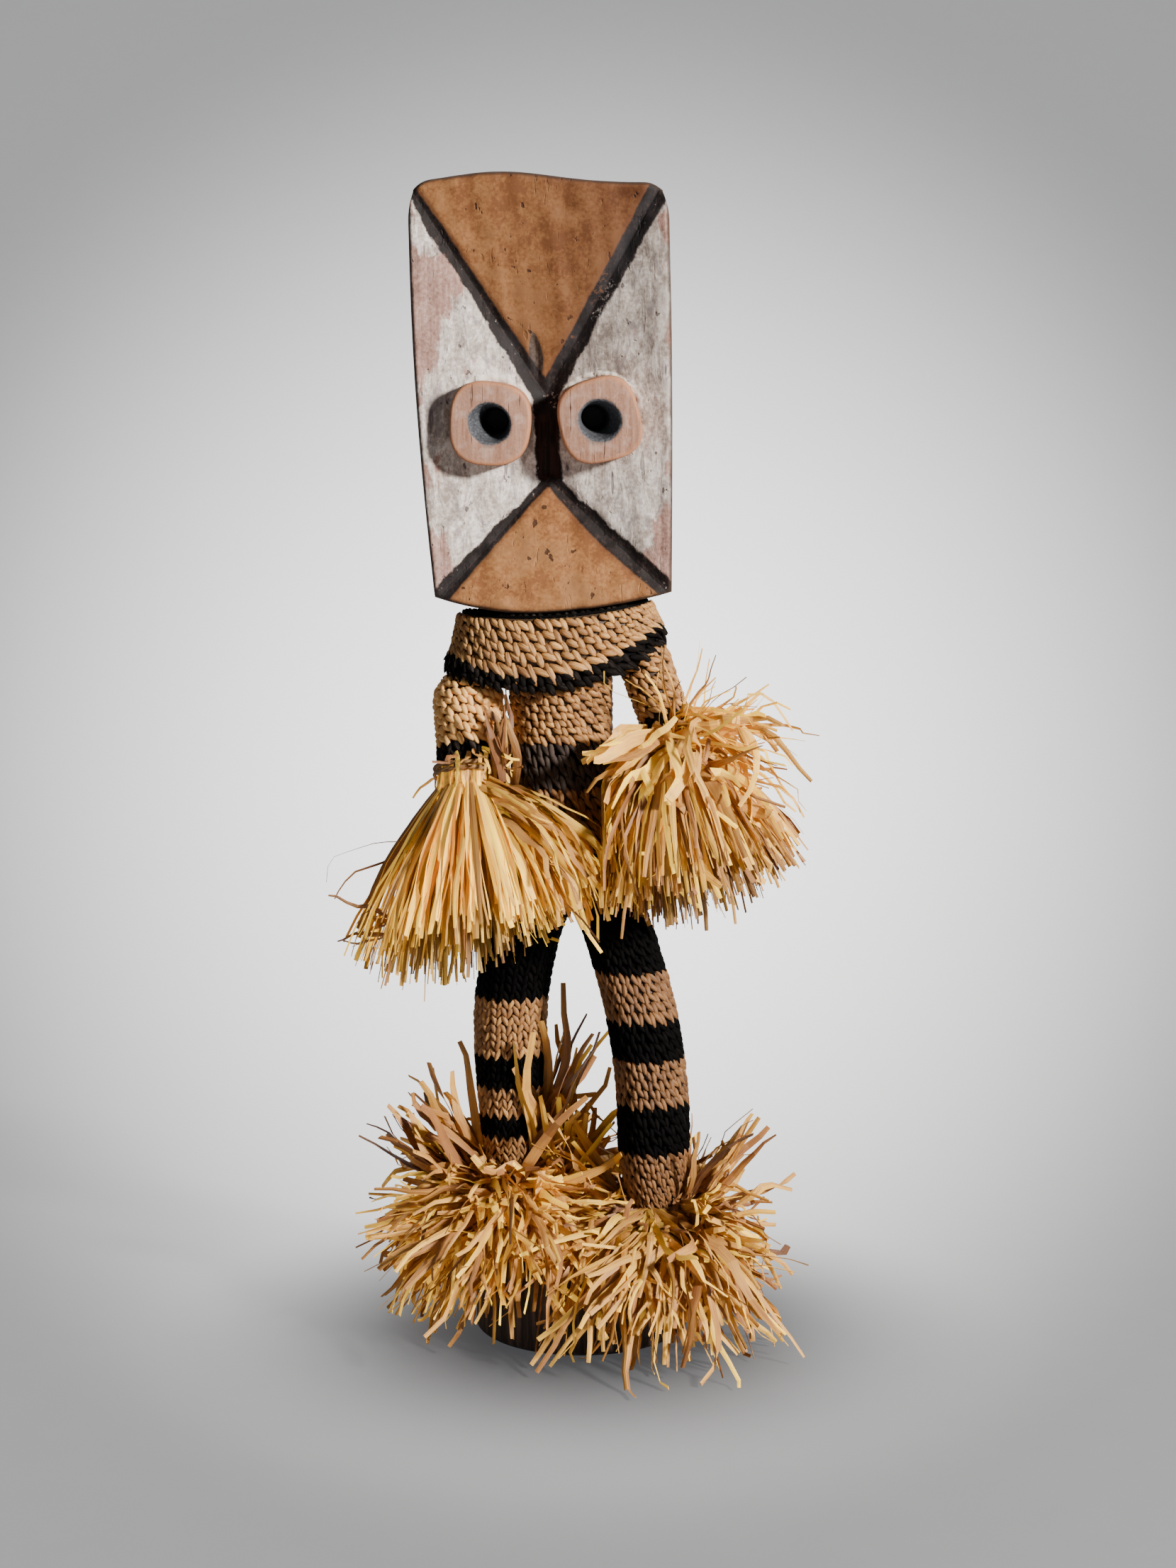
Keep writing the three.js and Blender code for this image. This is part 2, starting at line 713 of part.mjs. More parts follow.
// A three-sided strand along its points, narrower at the tip.
function strandSolid(points) {
  const last = points.length - 1;
  const positions = [];
  const index = [];
  const up = new THREE.Vector3(0, 0, 1);
  points.forEach((point, i) => {
    const before = points[Math.max(0, i - 1)];
    const after = points[Math.min(last, i + 1)];
    const along = after.clone().sub(before).normalize();
    const side = new THREE.Vector3().crossVectors(along, up);
    if (side.length() < 0.05) side.set(1, 0, 0);
    side.normalize();
    const normal = new THREE.Vector3().crossVectors(side, along);
    const radius = (STRAND_WIDTH / Math.sqrt(3)) * lerp(1, STRAND_TIP, i / last);
    for (let k = 0; k < 3; k += 1) {
      const angle = (90 + 120 * k) * DEG;
      const corner = point.clone().addScaledVector(side, radius * Math.cos(angle));
      corner.addScaledVector(normal, radius * Math.sin(angle));
      positions.push(corner.x, corner.y, corner.z);
    }
  });
  for (let i = 0; i < last; i += 1) {
    for (let k = 0; k < 3; k += 1) {
      const a = i * 3 + k;
      const b = i * 3 + ((k + 1) % 3);
      index.push(a, b, a + 3, b, b + 3, a + 3);
    }
  }
  index.push(0, 2, 1, last * 3, last * 3 + 1, last * 3 + 2);
  const geometry = new THREE.BufferGeometry();
  geometry.setAttribute('position', new THREE.Float32BufferAttribute(positions, 3));
  geometry.setIndex(index);
  return solid(geometry);
}

function samples(points) {
  const out = [];
  for (let i = 0; i + 1 < points.length; i += 1) {
    for (let k = 0; k < SAMPLES_PER_STEP; k += 1) {
      out.push(points[i].clone().lerp(points[i + 1], k / SAMPLES_PER_STEP));
    }
  }
  out.push(points[points.length - 1]);
  return out;
}

// Room left for a strand: outside the legs, trunk, yoke and base, and above the floor.
function insideLimb(limb, p, low, high) {
  if (p.z < low || p.z > high) return false;
  const [cx, cy] = limb.centre(p.z);
  const [a, b] = limb.half(p.z);
  const room = STRAND_CLEAR + STRAND_WIDTH / 2;
  return Math.hypot((p.x - cx) / (a + room), (p.y - cy) / (b + room)) < 1;
}

function onGround(p) {
  const room = STRAND_CLEAR + STRAND_WIDTH / 2;
  if (p.z < FLOOR_CLEAR) return true;
  return p.z < BASE_HEIGHT + room && Math.hypot(p.x, p.y) < BASE_RADIUS + room;
}

function onBody(p) {
  const room = STRAND_CLEAR + STRAND_WIDTH / 2;
  if (insideLimb(rightLimb, p, BASE_HEIGHT, HIP_Z + room)) return true;
  if (insideLimb(leftLimb, p, BASE_HEIGHT, HIP_Z + room)) return true;
  if (insideLimb(trunk, p, HIP_Z - room, YOKE_LOW)) return true;
  return insideLimb(yoke, p, YOKE_LOW - 2 * YOKE_HEM_SAG, HEAD_AT[2]);
}

function tooNear(line, others) {
  const least = STRAND_WIDTH + STRAND_APART;
  for (const other of others) {
    for (const p of line) {
      for (const q of other) {
        if (Math.abs(p.z - q.z) < least && p.distanceTo(q) < least) return true;
      }
    }
  }
  return false;
}

// Roots stand in staggered levels; each strand is tried a few ways and kept where it clears the figure.
function growStrands(tryStrand, perLevel, atHome, beyond, others) {
  const kept = [];
  const lines = [];
  const clear = (points) => {
    const line = samples(points).slice(1);
    const open = line.filter((p) => !atHome(p));
    if (line.some(onGround) || open.some(onBody) || open.some(beyond)) return null;
    return tooNear(line, lines) || tooNear(open, others) ? null : line;
  };
  for (let level = 0; level < STRAND_LEVELS; level += 1) {
    for (let i = 0; i < perLevel; i += 1) {
      const angle = ((i + 0.5 * (level % 2)) / perLevel) * 2 * Math.PI;
      for (let go = 0; go < STRAND_TRIES; go += 1) {
        const points = tryStrand(angle, level, go);
        const line = clear(points);
        if (line) {
          kept.push(points);
          lines.push(line);
          break;
        }
      }
    }
  }
  return { kept, lines };
}

function headingRing(inner, low, high) {
  const outer = inner + HEADING_WALL;
  return lathe([[inner, low], [outer, low], [outer, high], [inner, high], [inner, low]], LEG_SEGMENTS);
}

// Wrist skirt: strands leave the lower part of the heading and spread round an axis of their own.
function wristSkirt(arm, spec, others) {
  const random = randomSource(spec.seed);
  const matrix = armMatrix(arm);
  const inner = arm.wristRadius - SUIT_WALL;
  const outer = inner + HEADING_WALL;
  const low = -arm.wrist;
  const high = -arm.cuff;
  const axis = new THREE.Vector3(...spec.axis).normalize();
  const firstRoot = low + STRAND_WIDTH;
  const lastRoot = high - CORD_ZONE - STRAND_WIDTH;
  const grow = SKIRT_GROWTH;
  const tryStrand = (angle, step, go) => {
    const part = step / (STRAND_LEVELS - 1);
    const level = lerp(firstRoot, lastRoot, part);
    const open = grow.spreadLeast + grow.spreadByLevel * part + grow.spreadStray * random();
    const spread = spec.spread * open * (1 - grow.spreadDrawnIn * go);
    const cut = grow.lengthLeast + grow.lengthStray * random();
    const length = spec.length * cut * (1 - grow.lengthDrawnIn * go);
    const out = new THREE.Vector3(Math.cos(angle), Math.sin(angle), 0);
    const root = out.clone().multiplyScalar(outer - STRAND_WIDTH).setZ(level).applyMatrix4(matrix);
    const away = out.clone().transformDirection(matrix);
    const bend = root.clone().addScaledVector(axis, length * grow.bendAt);
    bend.addScaledVector(away, length * spread * grow.bendOut + STRAND_WIDTH * (1 + part));
    const tip = root.clone().addScaledVector(axis, length).addScaledVector(away, length * spread);
    return new THREE.QuadraticBezierCurve3(root, bend, tip).getPoints(STRAND_STEPS);
  };
  const middle = new THREE.Vector3(0, 0, (low + high) / 2).applyMatrix4(matrix);
  const atHome = (p) => p.distanceTo(middle) < outer + STRAND_WIDTH;
  const beyond = (p) => spec.side * (p.x - SKIRT_PLANE_X) < SKIRT_PLANE_CLEAR;
  const { kept, lines } = growStrands(tryStrand, spec.perLevel, atHome, beyond, others);
  let skirt = solid(headingRing(inner, low, high).applyMatrix4(matrix));
  for (const points of kept) skirt = skirt.add(strandSolid(points));
  return { body: skirt, lines, count: kept.length };
}

// Ankle ruff: strands leave above and below the tie and burst out all round.
function ankleRuff(leg, spec, others) {
  const random = randomSource(spec.seed);
  const inner = ANKLE_POST_RADIUS + GAP;
  const outer = inner + HEADING_WALL;
  const high = leg.ankleZ;
  const low = BASE_HEIGHT + RUFF_ABOVE_BASE;
  const zone = (high - low - CORD_ZONE) / 2;
  const grow = RUFF_GROWTH;
  const tryStrand = (angle, step, go) => {
    const upper = step >= STRAND_LEVELS / 2;
    const share = grow.rootShares[step % 2];
    const level = upper ? high - zone * (1 - share) : low + zone * share;
    const part = step / (STRAND_LEVELS - 1);
    const stray = grow.riseStray * random() + grow.riseByTry * go * (1 - part);
    const rise = (lerp(spec.low, spec.high, part) + stray) * DEG;
    const cut = grow.lengthLeast + grow.lengthStray * random();
    const length = spec.length * cut * (1 - grow.lengthDrawnIn * go);
    const out = new THREE.Vector3(Math.cos(angle), Math.sin(angle), 0);
    const root = out.clone().multiplyScalar(outer - STRAND_WIDTH / 2).setZ(level);
    root.x += leg.foot[0];
    root.y += leg.foot[1];
    const aim = out.clone().multiplyScalar(Math.cos(rise)).setZ(Math.sin(rise));
    const bend = root.clone().addScaledVector(out, length * grow.bendAt);
    bend.z += length * grow.bendRise * Math.sin(rise);
    const tip = root.clone().addScaledVector(aim, length);
    const droop = grow.droopLeast + grow.droopStray * random();
    tip.z -= spec.droop * length * droop * (1 - part);
    tip.z = Math.max(tip.z, FLOOR_CLEAR + STRAND_WIDTH / 2);
    return new THREE.QuadraticBezierCurve3(root, bend, tip).getPoints(STRAND_STEPS);
  };
  const atHome = (p) => {
    const fromLeg = Math.hypot(p.x - leg.foot[0], p.y - leg.foot[1]);
    return fromLeg < outer + STRAND_WIDTH && p.z < high - STRAND_WIDTH;
  };
  const { kept, lines } = growStrands(tryStrand, spec.perLevel, atHome, () => false, others);
  const ring = headingRing(inner, low, high - GAP);
  ring.translate(leg.foot[0], leg.foot[1], 0);
  let ruff = solid(ring);
  for (const points of kept) ruff = ruff.add(strandSolid(points));
  return { body: ruff, lines, count: kept.length };
}

class Helix extends THREE.Curve {
  constructor(radius, turns, pitch) {
    super();
    this.radius = radius;
    this.turns = turns;
    this.pitch = pitch;
  }

  getPoint(t, target = new THREE.Vector3()) {
    const angle = t * this.turns * 2 * Math.PI;
    const z = (t - 0.5) * this.turns * this.pitch;
    return target.set(this.radius * Math.cos(angle), this.radius * Math.sin(angle), z);
  }
}

// The least gap of a cord to itself, measured between points of its line half a turn or more apart.
let leastCordGap = Infinity;

function measureCord(helix) {
  const line = helix.getPoints(CORD_STEPS * CORD_TURNS);
  for (let i = 0; i < line.length; i += 1) {
    for (let k = i + CORD_STEPS / 2; k < line.length; k += 1) {
      leastCordGap = Math.min(leastCordGap, line[i].distanceTo(line[k]) - 2 * CORD_RADIUS);
    }
  }
}

function cordTurns(inner) {
  const radius = inner + HEADING_WALL + GAP + CORD_RADIUS;
  const helix = new Helix(radius, CORD_TURNS, CORD_PITCH);
  measureCord(helix);
  const shape = new THREE.Shape();
  for (let k = 0; k < CORD_SIDES; k += 1) {
    const angle = (k / CORD_SIDES) * 2 * Math.PI;
    const [x, y] = [CORD_RADIUS * Math.cos(angle), CORD_RADIUS * Math.sin(angle)];
    if (k === 0) shape.moveTo(x, y);
    else shape.lineTo(x, y);
  }
  shape.closePath();
  const steps = CORD_STEPS * CORD_TURNS;
  return new THREE.ExtrudeGeometry(shape, { steps, extrudePath: helix, curveSegments: 1 });
}

function wristCord(arm) {
  const cord = cordTurns(arm.wristRadius - SUIT_WALL);
  cord.translate(0, 0, -arm.cuff - CORD_ZONE / 2);
  return solid(cord.applyMatrix4(armMatrix(arm)));
}

function ankleCord(leg) {
  const cord = cordTurns(ANKLE_POST_RADIUS + GAP);
  cord.translate(leg.foot[0], leg.foot[1], (BASE_HEIGHT + RUFF_ABOVE_BASE + leg.ankleZ) / 2);
  return solid(cord);
}

// Assembly

const group = new THREE.Group();
group.name = 'masked_dancer_figure';

function place(name, body, look) {
  const mesh = new THREE.Mesh(skinOf(body), material(look));
  mesh.name = name;
  group.add(mesh);
}

place('base_block', baseBlock(), 'base');
place('torso_core', torsoCore(), 'wood');
place('neck_peg', neckPeg(), 'wood');
place('head_block', headBlock(), 'face');
place('right_eye_tube', eyeTube(RIGHT_EYE), 'eye');
place('left_eye_tube', eyeTube(LEFT_EYE), 'eye');

place('hip_black', bandOf(trunk, HIP_Z + GAP, HIP_BLACK_TOP, TRUNK_SEGMENTS), 'black');
place('hip_natural', bandOf(trunk, HIP_BLACK_TOP + GAP, HIP_NATURAL_TOP, TRUNK_SEGMENTS), 'natural');
place('waist_black', bandOf(trunk, HIP_NATURAL_TOP + GAP, WAIST_TOP, TRUNK_SEGMENTS), 'black');
place('chest_natural', bandOf(chest, WAIST_TOP + GAP, CHEST_TOP, TRUNK_SEGMENTS), 'natural');

place('yoke_black', yokeBand(yoke, YOKE_LOW, YOKE_BLACK_TOP), 'black');
place('yoke_natural', yokeBand(yoke, YOKE_BLACK_TOP + GAP, YOKE_NATURAL_TOP), 'natural');
place('collar_round', yokeBand(collar, YOKE_NATURAL_TOP + GAP, COLLAR_TOP), 'black');

function dressLeg(side, leg, limb) {
  place(`${side}_leg_post`, legPost(leg, limb), 'wood');
  const edges = [leg.ankleZ, ...leg.bandTops, HIP_Z];
  for (let i = 0; i + 1 < edges.length; i += 1) {
    const look = i % 2 === 0 ? 'natural' : 'black';
    const band = bandOf(limb, edges[i] + GAP, edges[i + 1], LEG_SEGMENTS);
    place(`${side}_legging_${edges.length - 1 - i}_${look}`, band, look);
  }
  place(`${side}_ankle_cord`, ankleCord(leg), 'raffia');
}

function dressArm(side, arm) {
  place(`${side}_arm_stuffing`, armStuffing(arm), 'stuffing');
  place(`${side}_sleeve_natural`, sleeveCap(arm), 'natural');
  place(`${side}_sleeve_black`, sleeveCuff(arm), 'black');
  place(`${side}_wrist_cord`, wristCord(arm), 'raffia');
}

dressLeg('right', RIGHT_LEG, rightLimb);
dressLeg('left', LEFT_LEG, leftLimb);
dressArm('right', RIGHT_ARM);
dressArm('left', LEFT_ARM);

const rightSkirt = wristSkirt(RIGHT_ARM, RIGHT_SKIRT, []);
const leftSkirt = wristSkirt(LEFT_ARM, LEFT_SKIRT, rightSkirt.lines);
const skirtLines = [...rightSkirt.lines, ...leftSkirt.lines];
const rightRuff = ankleRuff(RIGHT_LEG, RIGHT_RUFF, skirtLines);
const leftRuff = ankleRuff(LEFT_LEG, LEFT_RUFF, [...skirtLines, ...rightRuff.lines]);
place('right_wrist_skirt', rightSkirt.body, 'raffia');
place('left_wrist_skirt', leftSkirt.body, 'raffia');
place('right_ankle_ruff', rightRuff.body, 'raffia');
place('left_ankle_ruff', leftRuff.body, 'raffia');

console.log('strands', rightSkirt.count, leftSkirt.count, rightRuff.count, leftRuff.count);
console.log('least cord gap', leastCordGap.toFixed(2));

export default group;
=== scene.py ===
import math
import random

import bpy
import numpy as np
from mathutils import Matrix, Vector


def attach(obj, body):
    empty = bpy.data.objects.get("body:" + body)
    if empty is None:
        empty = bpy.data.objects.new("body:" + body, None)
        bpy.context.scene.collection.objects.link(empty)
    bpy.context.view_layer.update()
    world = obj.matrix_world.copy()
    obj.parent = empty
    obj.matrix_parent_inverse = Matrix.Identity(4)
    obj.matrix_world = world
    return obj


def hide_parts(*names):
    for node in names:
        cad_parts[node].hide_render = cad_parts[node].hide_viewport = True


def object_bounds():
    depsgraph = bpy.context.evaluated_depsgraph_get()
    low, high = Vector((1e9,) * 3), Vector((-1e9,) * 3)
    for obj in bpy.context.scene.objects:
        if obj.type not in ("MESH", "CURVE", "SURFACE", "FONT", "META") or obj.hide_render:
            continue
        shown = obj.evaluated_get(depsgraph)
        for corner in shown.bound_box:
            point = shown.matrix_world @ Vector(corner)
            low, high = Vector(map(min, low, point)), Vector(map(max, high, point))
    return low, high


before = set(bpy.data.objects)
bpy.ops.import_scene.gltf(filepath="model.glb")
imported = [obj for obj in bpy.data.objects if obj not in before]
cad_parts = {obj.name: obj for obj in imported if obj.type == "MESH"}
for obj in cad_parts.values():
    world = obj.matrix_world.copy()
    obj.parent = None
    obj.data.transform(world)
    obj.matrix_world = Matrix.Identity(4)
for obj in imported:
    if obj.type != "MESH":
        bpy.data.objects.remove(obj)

cad_box = [list(corner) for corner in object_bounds()]

MM = 0.001
TAU = 2 * math.pi
SHARP_EDGE = math.radians(50)
SMOOTH_EDGE = math.radians(35)


# Selecting, editing and finishing

def clear_selection():
    if bpy.context.mode != "OBJECT":
        bpy.ops.object.mode_set(mode="OBJECT")
    bpy.ops.object.select_all(action="DESELECT")


def choose(obj):
    clear_selection()
    bpy.context.view_layer.objects.active = obj
    obj.select_set(True)


def edit_faces(obj, wanted):
    """Opens the mesh for editing with only the wanted faces selected."""
    choose(obj)
    bpy.ops.object.mode_set(mode="EDIT")
    bpy.ops.mesh.select_all(action="DESELECT")
    bpy.ops.object.mode_set(mode="OBJECT")
    for face in obj.data.polygons:
        face.select = wanted(face)
    bpy.ops.object.mode_set(mode="EDIT")
    bpy.ops.mesh.select_mode(type="FACE")


def done_editing():
    bpy.ops.object.mode_set(mode="OBJECT")


def bevel(obj, width, segments):
    """Rounds the sharp edges."""
    edges = obj.modifiers.new("edges", "BEVEL")
    edges.width, edges.segments = width, segments
    edges.limit_method, edges.angle_limit = "ANGLE", SHARP_EDGE
    choose(obj)
    bpy.ops.object.modifier_apply(modifier=edges.name)


def smooth_flats(obj):
    choose(obj)
    bpy.ops.object.shade_smooth_by_angle(angle=SMOOTH_EDGE)


def points_of(obj):
    flat = np.empty(len(obj.data.vertices) * 3)
    obj.data.vertices.foreach_get("co", flat)
    return flat.reshape(-1, 3)


def set_points(obj, points):
    obj.data.vertices.foreach_set("co", np.ascontiguousarray(points, dtype=np.float32).ravel())
    obj.data.update()


def take_shape(obj):
    """Points and faces of a modelled shape, which is then put away."""
    points = points_of(obj)
    faces = [list(face.vertices) for face in obj.data.polygons]
    bpy.data.objects.remove(obj, do_unlink=True)
    return points, faces


def repeated(faces, count, per, start=0):
    """The faces of one shape for count copies of it, per points each."""
    return [[start + i * per + k for k in face] for i in range(count) for face in faces]


def ring_faces(rings, sides, start=0, closed=False):
    """Quads between each ring of points and the next."""
    faces = []
    for r in range(rings if closed else rings - 1):
        here, beyond = start + r * sides, start + (r + 1) % rings * sides
        for k in range(sides):
            after = (k + 1) % sides
            faces.append([here + k, here + after, beyond + after, beyond + k])
    return faces


def mesh_object(name, points, faces, smooth=True):
    mesh = bpy.data.meshes.new(name)
    mesh.from_pydata(np.asarray(points, dtype=float).tolist(), [], faces)
    mesh.validate()
    mesh.polygons.foreach_set("use_smooth", [smooth] * len(mesh.polygons))
    mesh.update()
    obj = bpy.data.objects.new(name, mesh)
    bpy.context.scene.collection.objects.link(obj)
    return obj


def give_vector(obj, name, values):
    layer = obj.data.attributes.new(name, "FLOAT_VECTOR", "POINT")
    layer.data.foreach_set("vector", np.ascontiguousarray(values, dtype=np.float32).ravel())


def give_number(obj, name, values):
    layer = obj.data.attributes.new(name, "FLOAT", "POINT")
    layer.data.foreach_set("value", np.ascontiguousarray(values, dtype=np.float32))


def dress(obj, body, slot, look, *nodes):
    obj.data.materials.clear()
    obj.data.materials.append(look)
    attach(obj, body)
    if nodes:
        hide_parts(*nodes)
    return obj


# Shader expressions

class Tone:
    """A socket that takes part in sums."""

    def __init__(self, shade, socket):
        self.shade = shade
        self.socket = socket

    def _math(self, operation, *values):
        return self.shade.node("ShaderNodeMath", {"operation": operation}, dict(enumerate(values)))

    def __add__(self, other):
        return self._math("ADD", self, other)

    __radd__ = __add__

    def __mul__(self, other):
        return self._math("MULTIPLY", self, other)

    __rmul__ = __mul__

    def __sub__(self, other):
        return self._math("SUBTRACT", self, other)

    def __rsub__(self, other):
        return self._math("SUBTRACT", other, self)

    def __truediv__(self, other):
        return self._math("DIVIDE", self, other)

    def power(self, other):
        return self._math("POWER", self, other)

    def most(self, other):
        return self._math("MAXIMUM", self, other)

    def step(self, low, high):
        """0 below low, 1 above high, smooth between."""
        settings = {"interpolation_type": "SMOOTHSTEP"}
        return self.shade.node("ShaderNodeMapRange", settings, {0: self, 1: low, 2: high, 3: 0.0, 4: 1.0})


class Shade:
    """A material and its nodes."""

    def __init__(self, name):
        self.material = bpy.data.materials.new(name)
        self.material.use_nodes = True
        self.tree = self.material.node_tree
        self.surface = self.tree.nodes["Principled BSDF"]

    def node(self, kind, settings=None, inputs=None, output=0):
        made = self.tree.nodes.new(kind)
        for key, value in (settings or {}).items():
            if key == "stops":
                self._stops(made.color_ramp, value)
            else:
                setattr(made, key, value)
        for key, value in (inputs or {}).items():
            self.put(made.inputs[key], value)
        return Tone(self, made.outputs[output])

    def _stops(self, ramp, stops):
        while len(ramp.elements) > 1:
            ramp.elements.remove(ramp.elements[-1])
        for i, (place, colour) in enumerate(stops):
            element = ramp.elements[0] if i == 0 else ramp.elements.new(place)
            element.position = place
            element.color = (*colour, 1.0)

    def put(self, socket, value):
        if isinstance(value, Tone):
            self.tree.links.new(value.socket, socket)
        elif socket.type == "RGBA" and len(value) == 3:
            socket.default_value = (*value, 1.0)
        else:
            socket.default_value = value

    def set(self, **values):
        for key, value in values.items():
            self.put(self.surface.inputs[key.replace("_", " ")], value)

    def place(self):
        return self.node("ShaderNodeTexCoord", output="Object")

    def vector(self, name):
        return self.node("ShaderNodeAttribute", {"attribute_name": name}, output="Vector")

    def number(self, name):
        return self.node("ShaderNodeAttribute", {"attribute_name": name}, output="Fac")

    def noise(self, where, scale, detail=3.0, rough=0.55, warp=0.0):
        values = {"Vector": where, "Scale": scale, "Detail": detail, "Roughness": rough, "Distortion": warp}
        return self.node("ShaderNodeTexNoise", None, values)

    def streaks(self, where, stretch, detail=3.0, rough=0.55, warp=0.0, turn=(0, 0, 0)):
        """Noise drawn out along an axis."""
        drawn = self.node("ShaderNodeMapping", None, {"Vector": where, "Scale": stretch, "Rotation": turn})
        return self.noise(drawn, 1.0, detail, rough, warp)

    def mix(self, factor, first, second, blend="MIX"):
        settings = {"data_type": "RGBA", "blend_type": blend}
        return self.node("ShaderNodeMix", settings, {0: factor, 6: first, 7: second}, output=2)

    def ramp(self, factor, stops):
        return self.node("ShaderNodeValToRGB", {"stops": stops}, {0: factor})

    def bump(self, height, strength, distance):
        values = {"Height": height, "Strength": strength, "Distance": distance}
        self.set(Normal=self.node("ShaderNodeBump", None, values))


# Looks

# Colours from dark to light, each with its place on the scale of tones
OCHRE = [(0.4, (0.205, 0.078, 0.026)), (0.5, (0.295, 0.126, 0.044)), (0.6, (0.37, 0.175, 0.068))]
BARE = [(0.38, (0.16, 0.075, 0.055)), (0.5, (0.33, 0.185, 0.145)), (0.62, (0.5, 0.335, 0.285))]
CHALK_LIGHT = (0.8, 0.73, 0.68)
CHALK = [(0.41, (0.29, 0.235, 0.2)), (0.5, (0.53, 0.455, 0.405)), (0.58, CHALK_LIGHT)]
GOUGED = [(0.35, (0.035, 0.025, 0.02)), (0.65, (0.085, 0.066, 0.055))]
SOOT = [(0.38, (0.004, 0.0025, 0.0022)), (0.52, (0.0115, 0.007, 0.0062)), (0.64, (0.035, 0.0215, 0.0185))]
NOSE_SOOT = [(0.38, (0.008, 0.004, 0.003)), (0.62, (0.055, 0.02, 0.012))]
PLAIN_BACK = [(0.25, (0.1, 0.046, 0.022)), (0.55, (0.19, 0.092, 0.045)), (0.85, (0.27, 0.15, 0.08))]
EYE_GRAIN = [(0.34, (0.25, 0.112, 0.066)), (0.5, (0.33, 0.168, 0.108)), (0.66, (0.43, 0.248, 0.175))]
CHAR = [(0.3, (0.02, 0.0215, 0.025)), (0.5, (0.05, 0.053, 0.06)), (0.7, (0.1, 0.105, 0.118))]
DRUM_GRAIN = [(0.38, (0.009, 0.0055, 0.0045)), (0.52, (0.042, 0.026, 0.019)), (0.64, (0.13, 0.083, 0.062))]
INNER_GRAIN = [(0.25, (0.05, 0.026, 0.014)), (0.55, (0.11, 0.058, 0.03)), (0.85, (0.19, 0.11, 0.06))]
LEAF = [(0.05, (0.15, 0.06, 0.024)), (0.24, (0.37, 0.152, 0.046)), (0.44, (0.75, 0.385, 0.078)),
        (0.7, (1.0, 0.63, 0.06))]


